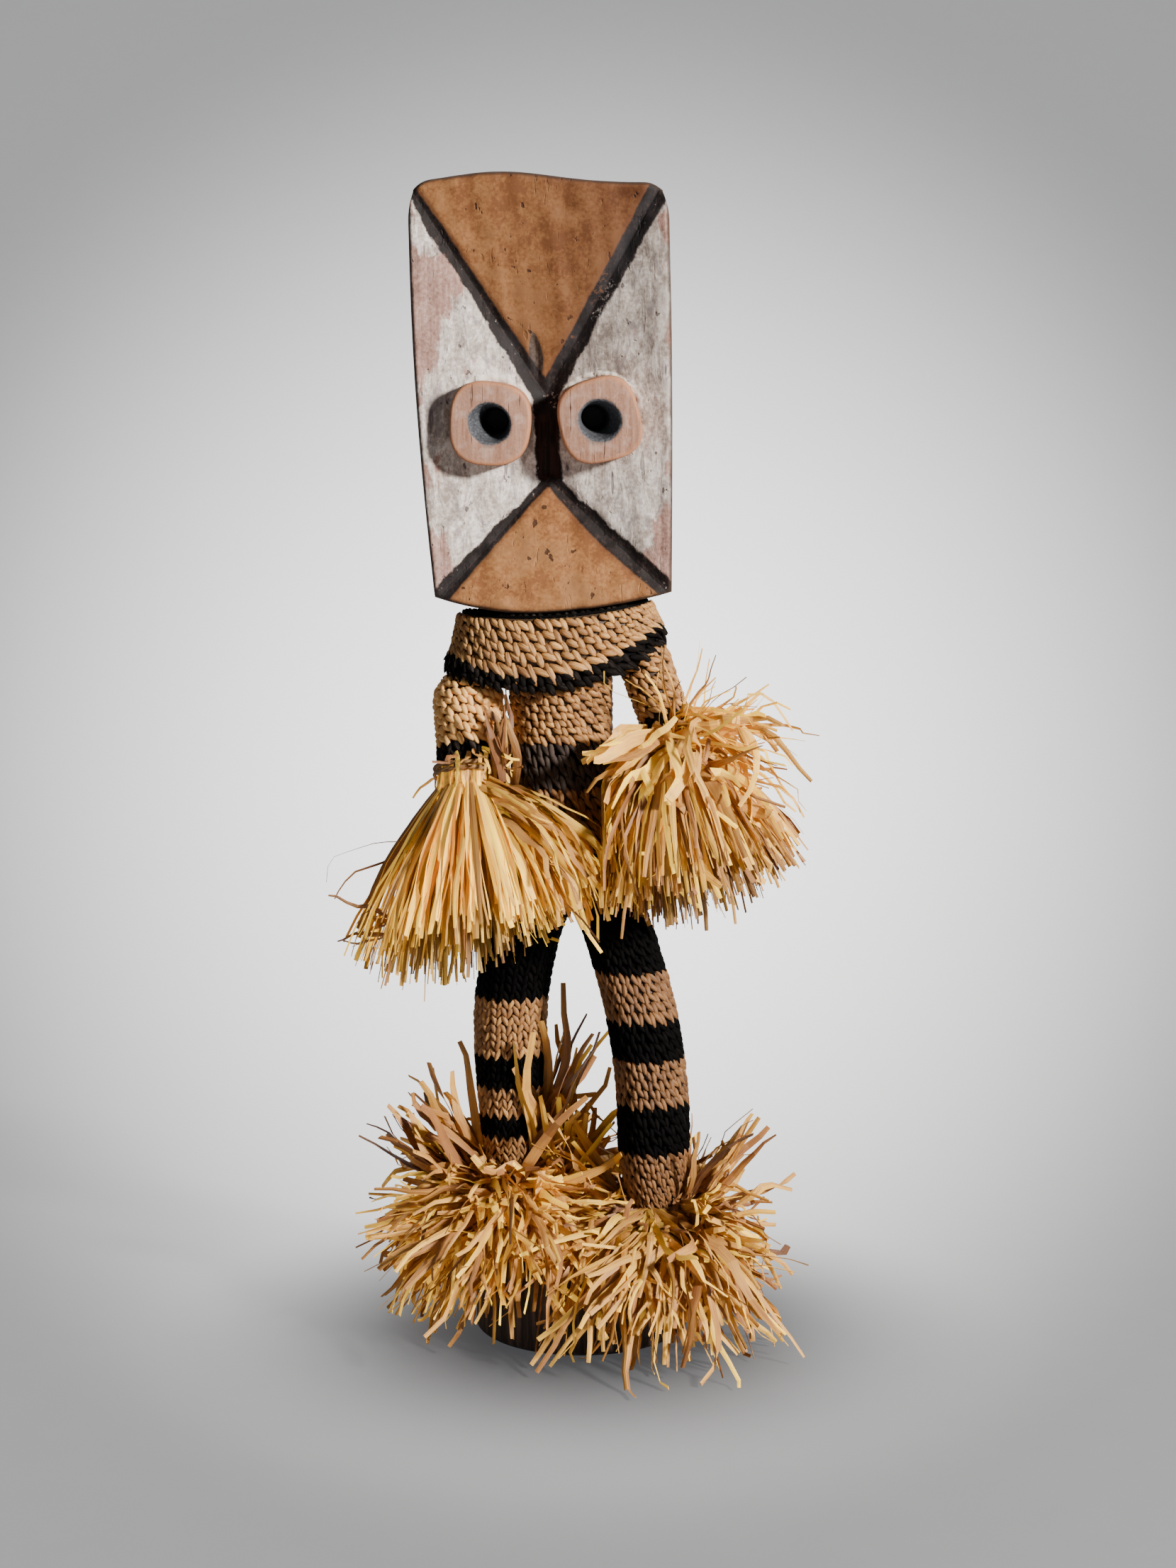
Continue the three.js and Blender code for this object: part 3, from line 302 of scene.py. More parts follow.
def carved_paint():
    """Ochre wood, chalk white cheeks and black lines, worn at the edges."""
    shade = Shade("carved_paint")
    place = shade.place()
    grain = shade.streaks(place, (330, 330, 9), 4.0, 0.6, 0.25)
    fine = shade.noise(place, 620.0, 3.0, 0.6)
    brush = shade.streaks(place, (190, 190, 60), 4.0, 0.65, 1.2, turn=(0, 0.6, 0))
    patch = shade.noise(place, 52.0, 5.0, 0.65)
    broad = shade.noise(place, 17.0, 3.0)
    ragged = shade.noise(place, 210.0, 5.0, 0.68) - 0.5
    lobes = shade.noise(place, 75.0, 2.0) - 0.5
    pits = shade.streaks(place, (260, 260, 190), 2.0).step(0.67, 0.73)
    line_gap = shade.number("line")
    cheek = shade.number("white")
    rim = shade.number("rim")
    tone = grain * 0.12 + broad * 0.45 + patch * 0.9 + fine * 0.45 - 0.46
    wood = shade.ramp(tone, OCHRE)
    # A darker wood colour, used both for random darker patches and for painted shade
    patchy_and_shaded_wood = shade.mix(1.0, wood, (0.4, 0.34, 0.33), "MULTIPLY")
    wood = shade.mix((patch * 0.7 + broad * 0.3).step(0.5, 0.62) * 0.5, wood, patchy_and_shaded_wood)
    # Painted shade: the upper wood field is darker, most towards the figure's left
    wood = shade.mix(shade.number("brow_shade"), wood, patchy_and_shaded_wood)
    wood = shade.mix(pits * 0.85, wood, (0.035, 0.014, 0.008))
    wood = shade.mix((1.0 - (line_gap + 2.0 * ragged).step(0.0, 3.0)) * 0.55, wood, (0.12, 0.045, 0.02))
    wood = shade.mix((1.0 - (rim + 2.5 * ragged).step(0.0, 4.0)) * 0.45, wood, (0.1, 0.04, 0.017))
    bare = shade.ramp(grain * 0.4 + fine * 0.3 + patch * 0.3, BARE)
    chalk = shade.ramp(brush * 0.45 + fine * 0.3 + patch * 0.25, CHALK)
    smear = shade.streaks(place, (130, 130, 46), 4.0, 0.62, 1.5, turn=(0, -0.7, 0))
    chalk = shade.mix(smear.step(0.52, 0.64) * 0.6, chalk, (0.25, 0.21, 0.215))
    chalk = shade.mix(smear.step(0.46, 0.3) * 0.5, chalk, CHALK_LIGHT)
    # Painted shade: the figure's left cheek is darker, more so higher up
    cheek_shade_amount = shade.number("dim") * 0.75
    chalk = shade.mix(cheek_shade_amount, chalk, shade.mix(1.0, chalk, (0.42, 0.4, 0.375), "MULTIPLY"))
    worn = shade.number("worn")
    rubbed = worn * 0.75 + 1.5 * (smear - 0.5) + 1.0 * (brush - 0.5) + 0.6 * ragged
    rubbed = rubbed + 0.25 * (1.0 - rim.step(0.5, 6.0))
    chalk = shade.mix(rubbed.step(0.24, 0.5) * 0.92, chalk, bare)
    heaped = (shade.number("ridge") + 1.3 * lobes + 0.9 * ragged).step(0.4, 0.8) * 0.75
    chalk = shade.mix(heaped, chalk, (0.78, 0.71, 0.62))
    chalk = shade.mix(pits * 0.75, chalk, (0.07, 0.05, 0.045))
    scrape = shade.streaks(place, (300, 300, 45), 2.0, turn=(0, 0.3, 0)).step(0.67, 0.72)
    chalk = shade.mix(scrape * 0.6, chalk, (0.1, 0.075, 0.07))
    white = (cheek + 1.5 * ragged).step(-0.5, 0.5)
    face = shade.mix(white, wood, chalk)
    gouge = (shade.number("gouge") + 0.8 * ragged).step(-0.2, 0.5)
    face = shade.mix(gouge * 0.92, face, shade.ramp(fine, GOUGED))
    soot = shade.ramp(fine * 0.5 + brush * 0.5, SOOT)
    soot = shade.mix((broad + 0.5 * (patch - 0.5)).step(0.5, 0.68) * 0.28, soot, (0.042, 0.039, 0.043))
    nose = shade.number("nose").step(0.2, 0.8)
    soot = shade.mix(nose, soot, shade.ramp(grain, NOSE_SOOT))
    frayed = 0.35 + 0.65 * cheek.step(-1.0, 1.0)
    line = (line_gap + frayed * (3.4 * ragged + 3.6 * lobes)).step(0.6, -0.5)
    scuffed = (patch + 0.8 * (fine - 0.5)).step(0.66, 0.8)
    face = shade.mix(line * (1.0 - 0.55 * scuffed * (1.0 - nose)), face, soot)
    edge = (1.0 - (rim + 1.8 * ragged).step(0.5, 2.0)) * 0.85
    face = shade.mix(edge, face, (0.045, 0.026, 0.018))
    plain = shade.ramp(grain, PLAIN_BACK)
    colour = shade.mix(shade.number("behind").step(0.2, 0.8), face, plain)
    shade.set(Base_Color=colour, Roughness=0.58 + 0.25 * fine, Specular_IOR_Level=0.22)
    relief = grain * 0.15 + patch * 0.3 + brush * 0.9 * white + fine * 0.25 - pits * 0.9 - scrape * 0.5
    relief = relief + white * 0.35 * (1.0 - line)
    shade.bump(relief, 0.5, 0.0010)
    return shade.material


def bare_eye_wood():
    shade = Shade("bare_eye_wood")
    place = shade.place()
    grain = shade.streaks(place, (420, 420, 30), 4.0, 0.6, 0.3)
    fine = shade.noise(place, 900.0, 3.0)
    cracks = shade.streaks(place, (560, 560, 34), 2.0).step(0.66, 0.72)
    smudge = shade.noise(place, 130.0, 3.0, 0.6)
    wood = shade.ramp(grain * 0.7 + fine * 0.3, EYE_GRAIN)
    wood = shade.mix(cracks * 0.7, wood, (0.1, 0.042, 0.026))
    wood = shade.mix(smudge.step(0.5, 0.66) * 0.6, wood, (0.47, 0.31, 0.24))
    lip = shade.number("lip")
    # The outer lip and sides turn orange: the bare wood's tone, with a painted highlight on the lips
    wood = shade.mix((lip + 0.5 * (smudge - 0.5)).step(0.74, 1.0) * 0.8, wood, (0.45, 0.185, 0.08))
    depth = shade.number("hole")
    hole_paint_and_shade = shade.ramp(fine, CHAR)
    # Painted shade: deep inside the bored hole the dark paint turns near black
    hole_paint_and_shade = shade.mix(depth.step(9.0, 13.0), hole_paint_and_shade, (0.002, 0.002, 0.002))
    inside = (depth + 2.2 * (smudge - 0.5)).step(-0.7, 0.3)
    shade.set(Base_Color=shade.mix(inside, wood, hole_paint_and_shade), Roughness=0.62 + 0.2 * fine)
    shade.bump(grain * 0.6 + fine * 0.3 - cracks * 0.9, 0.55, 0.0008)
    return shade.material


def dark_drum_wood():
    shade = Shade("dark_drum_wood")
    place = shade.place()
    grain = shade.streaks(place, (330, 330, 16), 5.0, 0.62, 0.5)
    fine = shade.streaks(place, (1300, 1300, 60), 3.0)
    patch = shade.noise(place, 30.0, 3.0)
    wood = shade.ramp(grain, DRUM_GRAIN)
    wood = shade.mix(patch.step(0.5, 0.75) * 0.4, wood, (0.04, 0.025, 0.018))
    wood = shade.mix(fine.step(0.64, 0.76) * 0.5, wood, (0.11, 0.07, 0.05))
    shade.set(Base_Color=wood, Roughness=0.5 + 0.3 * fine)
    shade.bump(grain * 0.8 + fine * 0.4, 0.6, 0.0009)
    return shade.material


def inner_wood():
    shade = Shade("inner_wood")
    place = shade.place()
    grain = shade.streaks(place, (300, 300, 14), 4.0, 0.6, 0.4)
    fine = shade.streaks(place, (1100, 1100, 70), 2.0)
    wood = shade.ramp(grain, INNER_GRAIN)
    shade.set(Base_Color=wood, Roughness=0.7 + 0.2 * fine)
    shade.bump(grain * 0.7 + fine * 0.3, 0.5, 0.0008)
    return shade.material


def cord_look(name, dark, mid, light, hole, gloss, shine=0.5):
    """Twisted leaf cord: fine fibres along each loop, each loop a little different."""
    shade = Shade(name)
    fibre = shade.vector("fibre")
    streak = shade.streaks(fibre, (9.0, 1.6, 40.0), 3.0, 0.6)
    loop = shade.streaks(fibre, (0.0, 0.0, 61.0), 0.0)
    dirt = shade.noise(shade.place(), 55.0, 3.0)
    tone = streak * 0.75 + loop * 0.5 - 0.12 + shade.number("tone_and_light")
    colour = shade.ramp(tone, [(0.22, dark), (0.5, mid), (0.82, light)])
    # Painted shade: the hollows between loops and the dark sheet under them take the dark hole colour
    sunk_shade = 1.0 - shade.number("proud").step(0.1, 0.62)
    colour = shade.mix(sunk_shade * 0.9, colour, hole)
    colour = shade.mix(dirt.step(0.52, 0.78) * 0.35, colour, dark)
    shade.set(Base_Color=colour, Roughness=gloss + 0.2 * streak, Specular_IOR_Level=shine)
    shade.bump(streak, 0.55, 0.0006)
    return shade.material


def raffia_look():
    """Dry split leaf: pale yellow strips, tan and brown ones among them, fine lines along each."""
    shade = Shade("raffia_leaf")
    fibre = shade.vector("fibre")
    line = shade.streaks(fibre, (7.0, 0.35, 30.0), 3.0, 0.6)
    strip = shade.streaks(fibre, (0.0, 0.0, 73.0), 0.0)
    along = shade.streaks(fibre, (0.3, 1.1, 21.0), 3.0)
    tone = strip * 0.9 + line * 0.45 + along * 0.4 - 0.27 - 0.42 * shade.number("age")
    colour = shade.ramp(tone, LEAF)
    proud = shade.number("proud")
    # Painted shade: strips and roots deep in the bundle turn dark brown
    colour = shade.mix((1.0 - proud.step(0.0, 0.75)) * 0.85, colour, (0.11, 0.04, 0.013))
    shade.set(Base_Color=colour, Roughness=0.4 + 0.25 * line)
    # Painted light: the lightest outer strips glow
    lit = shade.mix(proud.step(0.6, 1.0) * tone.step(0.35, 0.7), (0.0, 0.0, 0.0), colour)
    shade.set(Emission_Color=lit, Emission_Strength=1.2)
    shade.bump(line, 0.5, 0.0004)
    return shade.material


GLOW_BACK, GLOW_HEIGHT = 1.3, 0.448


def floor_look():
    """Pale floor with a painted pool of light behind the figure and a painted shadow under it; the whole floor
    glows.
    """
    shade = Shade("pale_floor")
    place = shade.place()
    grain = shade.noise(place, 40.0, 2.0)
    aside, apart, rise = [shade.node("ShaderNodeSeparateXYZ", None, {0: place}, output=i) for i in range(3)]
    reach = (apart + GLOW_BACK).most(0.4)
    across, above = aside / reach, (rise - GLOW_HEIGHT) / reach + 0.15
    # Painted pool of light behind the figure
    glow = 1.0 - (across * across + above * above).power(0.5).step(0.0, 0.3)
    floor_light_and_shadow = shade.mix(glow, (0.145, 0.145, 0.147), (1.0, 1.0, 1.0))
    far = shade.node("ShaderNodeVectorMath", {"operation": "LENGTH"}, {0: place}, output=1)
    # Painted contact shadow round the base
    contact_shadow = 1.0 - far.step(0.05, 0.215)
    floor_light_and_shadow = shade.mix(contact_shadow * 0.97, floor_light_and_shadow, (0.018, 0.019, 0.021))
    matt = shade.mix(1.0, floor_light_and_shadow, (0.3, 0.3, 0.3), "MULTIPLY")
    shade.set(Base_Color=shade.mix(grain * 0.06, matt, (0.3, 0.3, 0.3)), Roughness=0.8)
    # The floor glows, which also lights the figure
    shade.set(Emission_Color=floor_light_and_shadow, Emission_Strength=2.4)
    return shade.material


PAINT = carved_paint()
EYE_WOOD = bare_eye_wood()
DRUM_WOOD = dark_drum_wood()
INNER_WOOD = inner_wood()
NATURAL = cord_look("natural_cord", (0.07, 0.025, 0.007), (0.3, 0.134, 0.041), (0.93, 0.51, 0.165),
                    (0.005, 0.0025, 0.0015), 0.5)
BLACK = cord_look("black_cord", (0.001, 0.0008, 0.0008), (0.007, 0.0054, 0.0047), (0.075, 0.056, 0.046),
                  (0.0006, 0.0005, 0.0005), 0.65, 0.06)
TIE = cord_look("tie_cord", (0.09, 0.04, 0.014), (0.26, 0.13, 0.045), (0.55, 0.32, 0.12),
                (0.06, 0.03, 0.014), 0.55)
RAFFIA = raffia_look()


# The figure's own lines, in millimetres, as in the solids

def lerp(a, b, t):
    return a + (b - a) * np.clip(t, 0.0, 1.0)


def unit(vectors):
    vectors = np.asarray(vectors, dtype=float)
    return vectors / np.maximum(np.linalg.norm(vectors, axis=-1, keepdims=True), 1e-9)


def moved(points, turn):
    """Points carried along by a placing matrix."""
    turn = np.array(turn)
    return points @ turn[:3, :3].T + turn[:3, 3]


def outward(angle):
    return np.stack([np.cos(angle), np.sin(angle), 0 * angle], axis=-1)


HIP_Z = 204.0
WAIST_TOP = 283.0
YOKE_X, YOKE_Y, YOKE_LOW, YOKE_HEIGHT = -12.0, -1.0, 322.0, 25.4
YOKE_HALF_WIDTH, YOKE_TOP_WIDTH = 53.0, 44.5
YOKE_HALF_DEPTH, YOKE_TOP_DEPTH = 26.0, 23.0
YOKE_TUCK = 2.2
TRUNK_X, TRUNK_HALF_WIDTH, TRUNK_HALF_DEPTH = (-4.5, -9.3), (34.5, 23.4), (18.2, 19.0)
RIGHT_LEG = dict(foot=(-34.0, 14.0), hip=(-22.0, 2.0), knee=140.0, ankle=70.0, full=150.0, thin=10.6, thick=16.9)
LEFT_LEG = dict(foot=(34.0, -20.0), hip=(13.0, -2.0), knee=100.0, ankle=66.0, full=100.0, thin=10.6, thick=16.3)
RIGHT_ARM = dict(hinge=(-52.5, -2.0, 300.0), aim=(0.01, -0.34, -0.94), radius=15.6, wrist=13.6,
                 sleeve=21.0, cuff=29.0, end=50.8)
LEFT_ARM = dict(hinge=(29.5, -2.0, 319.0), aim=(0.32, -0.3, -0.9), radius=11.6, wrist=11.2,
                sleeve=27.0, cuff=33.5, end=52.0)
BASE_RADIUS, BASE_HEIGHT = 51.0, 42.0


def trunk_section(z):
    t = np.clip((z - HIP_Z) / (WAIST_TOP - HIP_Z), 0, 1)
    ease = 1 - (1 - t) ** 2
    return lerp(*TRUNK_X, t), 0.0 * t, lerp(*TRUNK_HALF_WIDTH, ease), lerp(*TRUNK_HALF_DEPTH, ease)


def leg_section(leg):
    def section(z):
        bend = np.clip((z - leg["knee"]) / (HIP_Z - leg["knee"]), 0, 1) ** 2
        t = np.clip((z - leg["ankle"]) / (leg["full"] - leg["ankle"]), 0, 1)
        radius = lerp(leg["thin"], leg["thick"], 1 - (1 - t) ** 2)
        x, y = [lerp(foot, hip, bend) for foot, hip in zip(leg["foot"], leg["hip"])]
        return x, y, radius, radius
    return section


def yoke_section(z):
    t = (z - YOKE_LOW) / YOKE_HEIGHT
    tuck = YOKE_TUCK * np.clip(1 - t * 3.5, 0, 1) ** 1.5
    half_width = lerp(YOKE_HALF_WIDTH, YOKE_TOP_WIDTH, t) - tuck
    half_depth = lerp(YOKE_HALF_DEPTH, YOKE_TOP_DEPTH, t) - tuck
    return YOKE_X + 0.0 * t, YOKE_Y + 0.0 * t, half_width, half_depth


# Height, slope and sag of the yoke's edges
YOKE_EDGES = np.array([[322.0, 0.1, 14.0], [334.7, 0.146, 19.3], [346.0, 0.06, 5.2], [347.4, 0.06, 5.2]])


def yoke_lift(x, z):
    slope = np.interp(z, YOKE_EDGES[:, 0], YOKE_EDGES[:, 1])
    sag = np.interp(z, YOKE_EDGES[:, 0], YOKE_EDGES[:, 2])
    side = (x - YOKE_X) / YOKE_HALF_WIDTH
    return slope * (x - YOKE_X) - sag * np.maximum(0, 1 - side * side)


CHEST_TOP = YOKE_LOW - 0.3


def chest_lift(x, z):
    return yoke_lift(x, YOKE_LOW + 0.0 * z) * np.clip((z - WAIST_TOP) / (CHEST_TOP - WAIST_TOP), 0, 1)


def level(x, z):
    return 0.0 * x


def tube_surface(section, lift=level):
    """A point of a dressed limb from its angle and height."""
    def surface(angle, z, out=0.0):
        cx, cy, a, b = section(z)
        x = cx + (a + out) * np.cos(angle)
        y = cy + (b + out) * np.sin(angle)
        return np.stack([x, y, z + lift(x, z)], axis=-1)
    return surface


def arm_turn(arm):
    aim = Vector(arm["aim"]).normalized()
    turn = Vector((0, 0, -1)).rotation_difference(aim).to_matrix().to_4x4()
    return Matrix.Translation(Vector(arm["hinge"])) @ turn


def arm_surface(arm):
    """Angle round the sleeve and height over the hinge; above 0 it runs over the rounded shoulder."""
    turn = np.array(arm_turn(arm))
    full = arm["radius"]

    def surface(angle, h, out=0.0):
        over = np.clip(h / full, 0, 1.5)
        radius = np.where(h > 0, full * np.cos(over), lerp(full, arm["wrist"], -h / arm["cuff"]))
        along = np.where(h > 0, full * np.sin(over), h)
        radius = radius + out * np.where(h > 0, np.cos(over), 1.0)
        along = along + out * np.where(h > 0, np.sin(over), 0.0)
        local = np.stack([radius * np.cos(angle), radius * np.sin(angle), along + 0.0 * angle], axis=-1)
        return moved(local, turn)
    return surface


# Crochet: one plump loop is modelled and set in rows of V stitches over a dark sheet, painted shade for the gaps

def model_loop():
    clear_selection()
    bpy.ops.mesh.primitive_uv_sphere_add(segments=6, ring_count=5, radius=0.5)
    loop = bpy.context.object
    edit_faces(loop, lambda face: True)
    bpy.ops.transform.rotate(value=math.pi / 2, orient_axis="X", center_override=(0, 0, 0))
    done_editing()
    points, faces = take_shape(loop)
    swell = 0.62 + 0.38 * np.clip(points[:, 1] + 0.75, 0, 1)
    points[:, 0] *= swell
    points[:, 2] *= swell
    return points, faces


LOOP_POINTS, LOOP_FACES = model_loop()
LOOP_WIDE, LOOP_LONG, LOOP_THICK = 0.54, 1.5, 0.56
LOOP_APART, LOOP_DROP, LOOP_STAGGER, LOOP_TILT = 0.24, 0.12, 0.1, 0.16
STITCH_HEIGHTS = (3.4, 6.0)
STITCH_STRAY, ROW_STRAY = 0.1, 0.08
TURN_STEP, RISE_STEP = 0.01, 0.2
LINING_SIDES, LINING_LEVELS = 40, 5
LINING_DEPTH, LINING_WALL = 1.5, 2.4
BAND_GAP = 0.3


def surface_frame(surface, angle, z):
    """Where each stitch sits, and which ways are around, up and out there."""
    around = unit(surface(angle + TURN_STEP, z) - surface(angle - TURN_STEP, z))
    up = unit(surface(angle, z + RISE_STEP) - surface(angle, z - RISE_STEP))
    out = unit(np.cross(around, up))
    return surface(angle, z), around, np.cross(out, around), out


def stitch_places(low, high, columns, row_height, slant, dice):
    """Angle and height of every stitch of a band, and the nominal height of a row."""
    rows = max(1, round((high - low) / row_height))
    tall = (high - low) / rows
    places = []
    for row in range(rows):
        z = low + (row + 0.5) * tall
        for column in range(columns):
            angle = TAU * (column + slant * row + STITCH_STRAY * dice.uniform(-1, 1)) / columns
            places.append((angle, z + tall * ROW_STRAY * dice.uniform(-1, 1)))
    return np.array(places), tall


def lining_ring(surface, low, high):
    """A closed dark sleeve under the loops: painted shade for the gaps between them."""
    angles = np.arange(LINING_SIDES) * TAU / LINING_SIDES
    heights = [low + (high - low) * i / (LINING_LEVELS - 1) for i in range(LINING_LEVELS)]
    outside = [surface(angles, np.full(LINING_SIDES, z), -LINING_DEPTH) for z in heights]
    inside = [surface(angles, np.full(LINING_SIDES, z), -LINING_DEPTH - LINING_WALL) for z in heights]
    rings = outside + inside[::-1]
    return np.concatenate(rings), ring_faces(len(rings), LINING_SIDES, closed=True)


def crochet(name, surface, low, high, columns, row_height, slant, lean, splay, seed,
            lining=None, sink=0.0, teeth=1.15, lift=0.0):
    """Rows of stitches between two heights, two loops to a stitch; teeth lengthens the lowest row."""
    rng = np.random.default_rng(seed)
    places, nominal = stitch_places(low, high, columns, row_height, slant, random.Random(seed))
    angle, z = places[:, 0], places[:, 1]
    at, around, up, out = surface_frame(surface, angle, z)
    wide = np.linalg.norm(surface(angle + TAU / columns, z) - at, axis=-1)
    tall = np.linalg.norm(surface(angle, z + nominal / 2) - surface(angle, z - nominal / 2), axis=-1)
    tall = np.clip(tall, *STITCH_HEIGHTS)
    count = len(angle)
    hem = np.where(np.arange(count) < columns, teeth, 1.0)
    per = len(LOOP_POINTS)
    all_points, fibre, proud, faces = [], [], [], []
    for lobe in (-1, 1):
        tip = np.radians(splay * lobe + lean + rng.uniform(-8, 8, count))
        cos, sin = np.cos(tip)[:, None], np.sin(tip)[:, None]
        grow = rng.uniform(0.92, 1.1, count)
        size = [wide * LOOP_WIDE * grow, tall * LOOP_LONG * grow * hem, wide * LOOP_THICK * grow]
        local = LOOP_POINTS[None, :, :] * np.stack(size, axis=-1)[:, None, :]
        x = local[..., 0] * cos + local[..., 1] * sin + (lobe * wide * LOOP_APART)[:, None]
        y = -local[..., 0] * sin + local[..., 1] * cos
        y = y - (tall * (LOOP_DROP + LOOP_STAGGER * lobe + 0.55 * (hem - 1)))[:, None]
        rise = local[..., 2] - LOOP_TILT * local[..., 1] + rng.uniform(-0.2, 0.2, count)[:, None]
        points = at[:, None, :] + x[..., None] * around[:, None, :] + y[..., None] * up[:, None, :]
        points = points + (rise - 0.1 * wide[:, None] - sink)[..., None] * out[:, None, :]
        faces.extend(repeated(LOOP_FACES, count, per, len(all_points) * count * per))
        all_points.append(points.reshape(-1, 3))
        tags = np.repeat(rng.uniform(0, 1, count)[:, None], per, axis=1)
        grain = [LOOP_POINTS[None, :, 0] + 7 * tags, LOOP_POINTS[None, :, 1] + 5 * tags, tags]
        fibre.append(np.stack(grain, axis=-1).reshape(-1, 3))
        # Painted shade for points sunk between the loops; lift raises the whole band towards lit
        proud.append(np.clip(0.5 + lift + rise / (wide[:, None] * 0.5), 0, 1).reshape(-1))
    # A dark sheet under the loops, painted shade for the gaps
    shade_lining_points, shade_lining_faces = lining_ring(surface, *(lining or (low, high)))
    faces.extend(repeated(shade_lining_faces, 1, 0, 2 * count * per))
    all_points.append(shade_lining_points)
    fibre.append(np.zeros((len(shade_lining_points), 3)))
    proud.append(np.zeros(len(shade_lining_points)))
    obj = mesh_object(name, np.concatenate(all_points) * MM, faces)
    give_vector(obj, "fibre", np.concatenate(fibre))
    give_number(obj, "proud", np.concatenate(proud))
    return obj


LOOKS = {"natural": (NATURAL, "natural_cord"), "black": (BLACK, "black_cord")}


# Each band's tone may be shifted: partly the cord's own tone, partly painted light and shade
def wear_band(node, body, look, *band, extra=(), tone_and_light=0.0, **options):
    material, slot = LOOKS[look]
    piece = crochet(node + "_crochet", *band, **options)
    give_number(piece, "tone_and_light", np.full(len(piece.data.vertices), tone_and_light))
    return dress(piece, body, slot, material, node, *extra)


trunk = tube_surface(trunk_section)
chest = tube_surface(trunk_section, chest_lift)
yoke = tube_surface(yoke_section, yoke_lift)

# How the loops of a stitch lie: their lean and how far they splay, in degrees
LEANING = (-25.0, 13.0)
STEEP = (-42.0, 15.0)
UPRIGHT = (0.0, 22.0)

wear_band("hip_black", "figure", "black", trunk, 204.3, 232.0, 26, 4.7, 0.5, *LEANING, 1)
wear_band("hip_natural", "figure", "natural", trunk, 232.3, 262.0, 25, 4.8, 0.45, *LEANING, 2)
wear_band("waist_black", "figure", "black", trunk, 262.3, 283.0, 23, 4.9, 0.45, *LEANING, 3, tone_and_light=0.26)
wear_band("chest_natural", "figure", "natural", chest, 283.3, CHEST_TOP, 22, 5.4, 0.45, *STEEP, 4, tone_and_light=0.03)
wear_band("yoke_black", "figure", "black", yoke, 322.0, 334.7, 38, 6.3, 0.45, *STEEP, 5, tone_and_light=-0.04)
wear_band("yoke_natural", "figure", "natural", yoke, 335.0, 346.0, 38, 2.2, 0.45, *STEEP, 6, teeth=1.5, tone_and_light=0.07)
# The black round under the chin is sunk in; it also stands in for the shade beneath the chin
wear_band("collar_round", "figure", "black", yoke, 346.3, 347.4, 38, 3.0, 0.4, *LEANING, 7, sink=2.6)

LEG_BANDS = {
    "right": (RIGHT_LEG, [70.3, 90.8, 101.3, 115.1, 130.7, 158.9, 204.0], 0.0, UPRIGHT, 20, 0.0),
    "left": (LEFT_LEG, [57.0, 92.3, 115.0, 136.2, 154.2, 176.2, 204.0], 0.4, LEANING, 30, -0.13),
}
# The legs' black bands are painted darker: painted shade
for side, (leg, edges, slant, lean, seed, pale_tone_and_light) in LEG_BANDS.items():
    surface = tube_surface(leg_section(leg))
    for i in range(6):
        look = "natural" if i % 2 == 0 else "black"
        wear_band(f"{side}_legging_{6 - i}_{look}", "figure", look, surface, edges[i] + BAND_GAP, edges[i + 1],
                  19, 4.1, slant, *lean, seed + i, tone_and_light=-0.3 if look == "black" else pale_tone_and_light)

# The right sleeve is painted lighter and its hollows less shaded: painted light
for side, arm, columns, tone_and_light, lift in (("right", RIGHT_ARM, 13, 0.62, 0.4), ("left", LEFT_ARM, 11, 0.04, 0.0)):
    surface = arm_surface(arm)
    hem, shoulder = -arm["sleeve"], arm["radius"] * 1.1
    wear_band(f"{side}_sleeve_natural", f"{side}_arm", "natural", surface, hem, shoulder, columns, 4.2, 0.45,
              *STEEP, 50, extra=[f"{side}_arm_stuffing"], lining=(hem, arm["radius"] * 1.4), tone_and_light=tone_and_light, lift=lift)
    wear_band(f"{side}_sleeve_black", f"{side}_arm", "black", surface, -arm["cuff"], hem - BAND_GAP,
              columns, 3.9, 0.3, *UPRIGHT, 51)


# Raffia: one strip is modelled and laid along every strand

STRIP_STEPS = 8


def model_strip():
    """A flat four-sided strip in STRIP_STEPS lengths, closed at both ends."""
    clear_selection()
    bpy.ops.mesh.primitive_circle_add(vertices=4, radius=0.5, fill_type="NGON")
    strip = bpy.context.object
    bpy.ops.object.mode_set(mode="EDIT")
    bpy.ops.mesh.select_mode(type="FACE")
    bpy.ops.mesh.select_all(action="SELECT")
    for step in range(STRIP_STEPS):
        bpy.ops.mesh.extrude_region_move(TRANSFORM_OT_translate={"value": (0, 0, 1 / STRIP_STEPS)})
    bpy.ops.mesh.select_all(action="SELECT")
    bpy.ops.mesh.normals_make_consistent(inside=False)
    done_editing()
    return take_shape(strip)


STRIP_POINTS, STRIP_FACES = model_strip()
STRIP_RING = np.rint(STRIP_POINTS[:, 2] * STRIP_STEPS).astype(int)
SPAN = np.linspace(0, 1, STRIP_STEPS + 1)


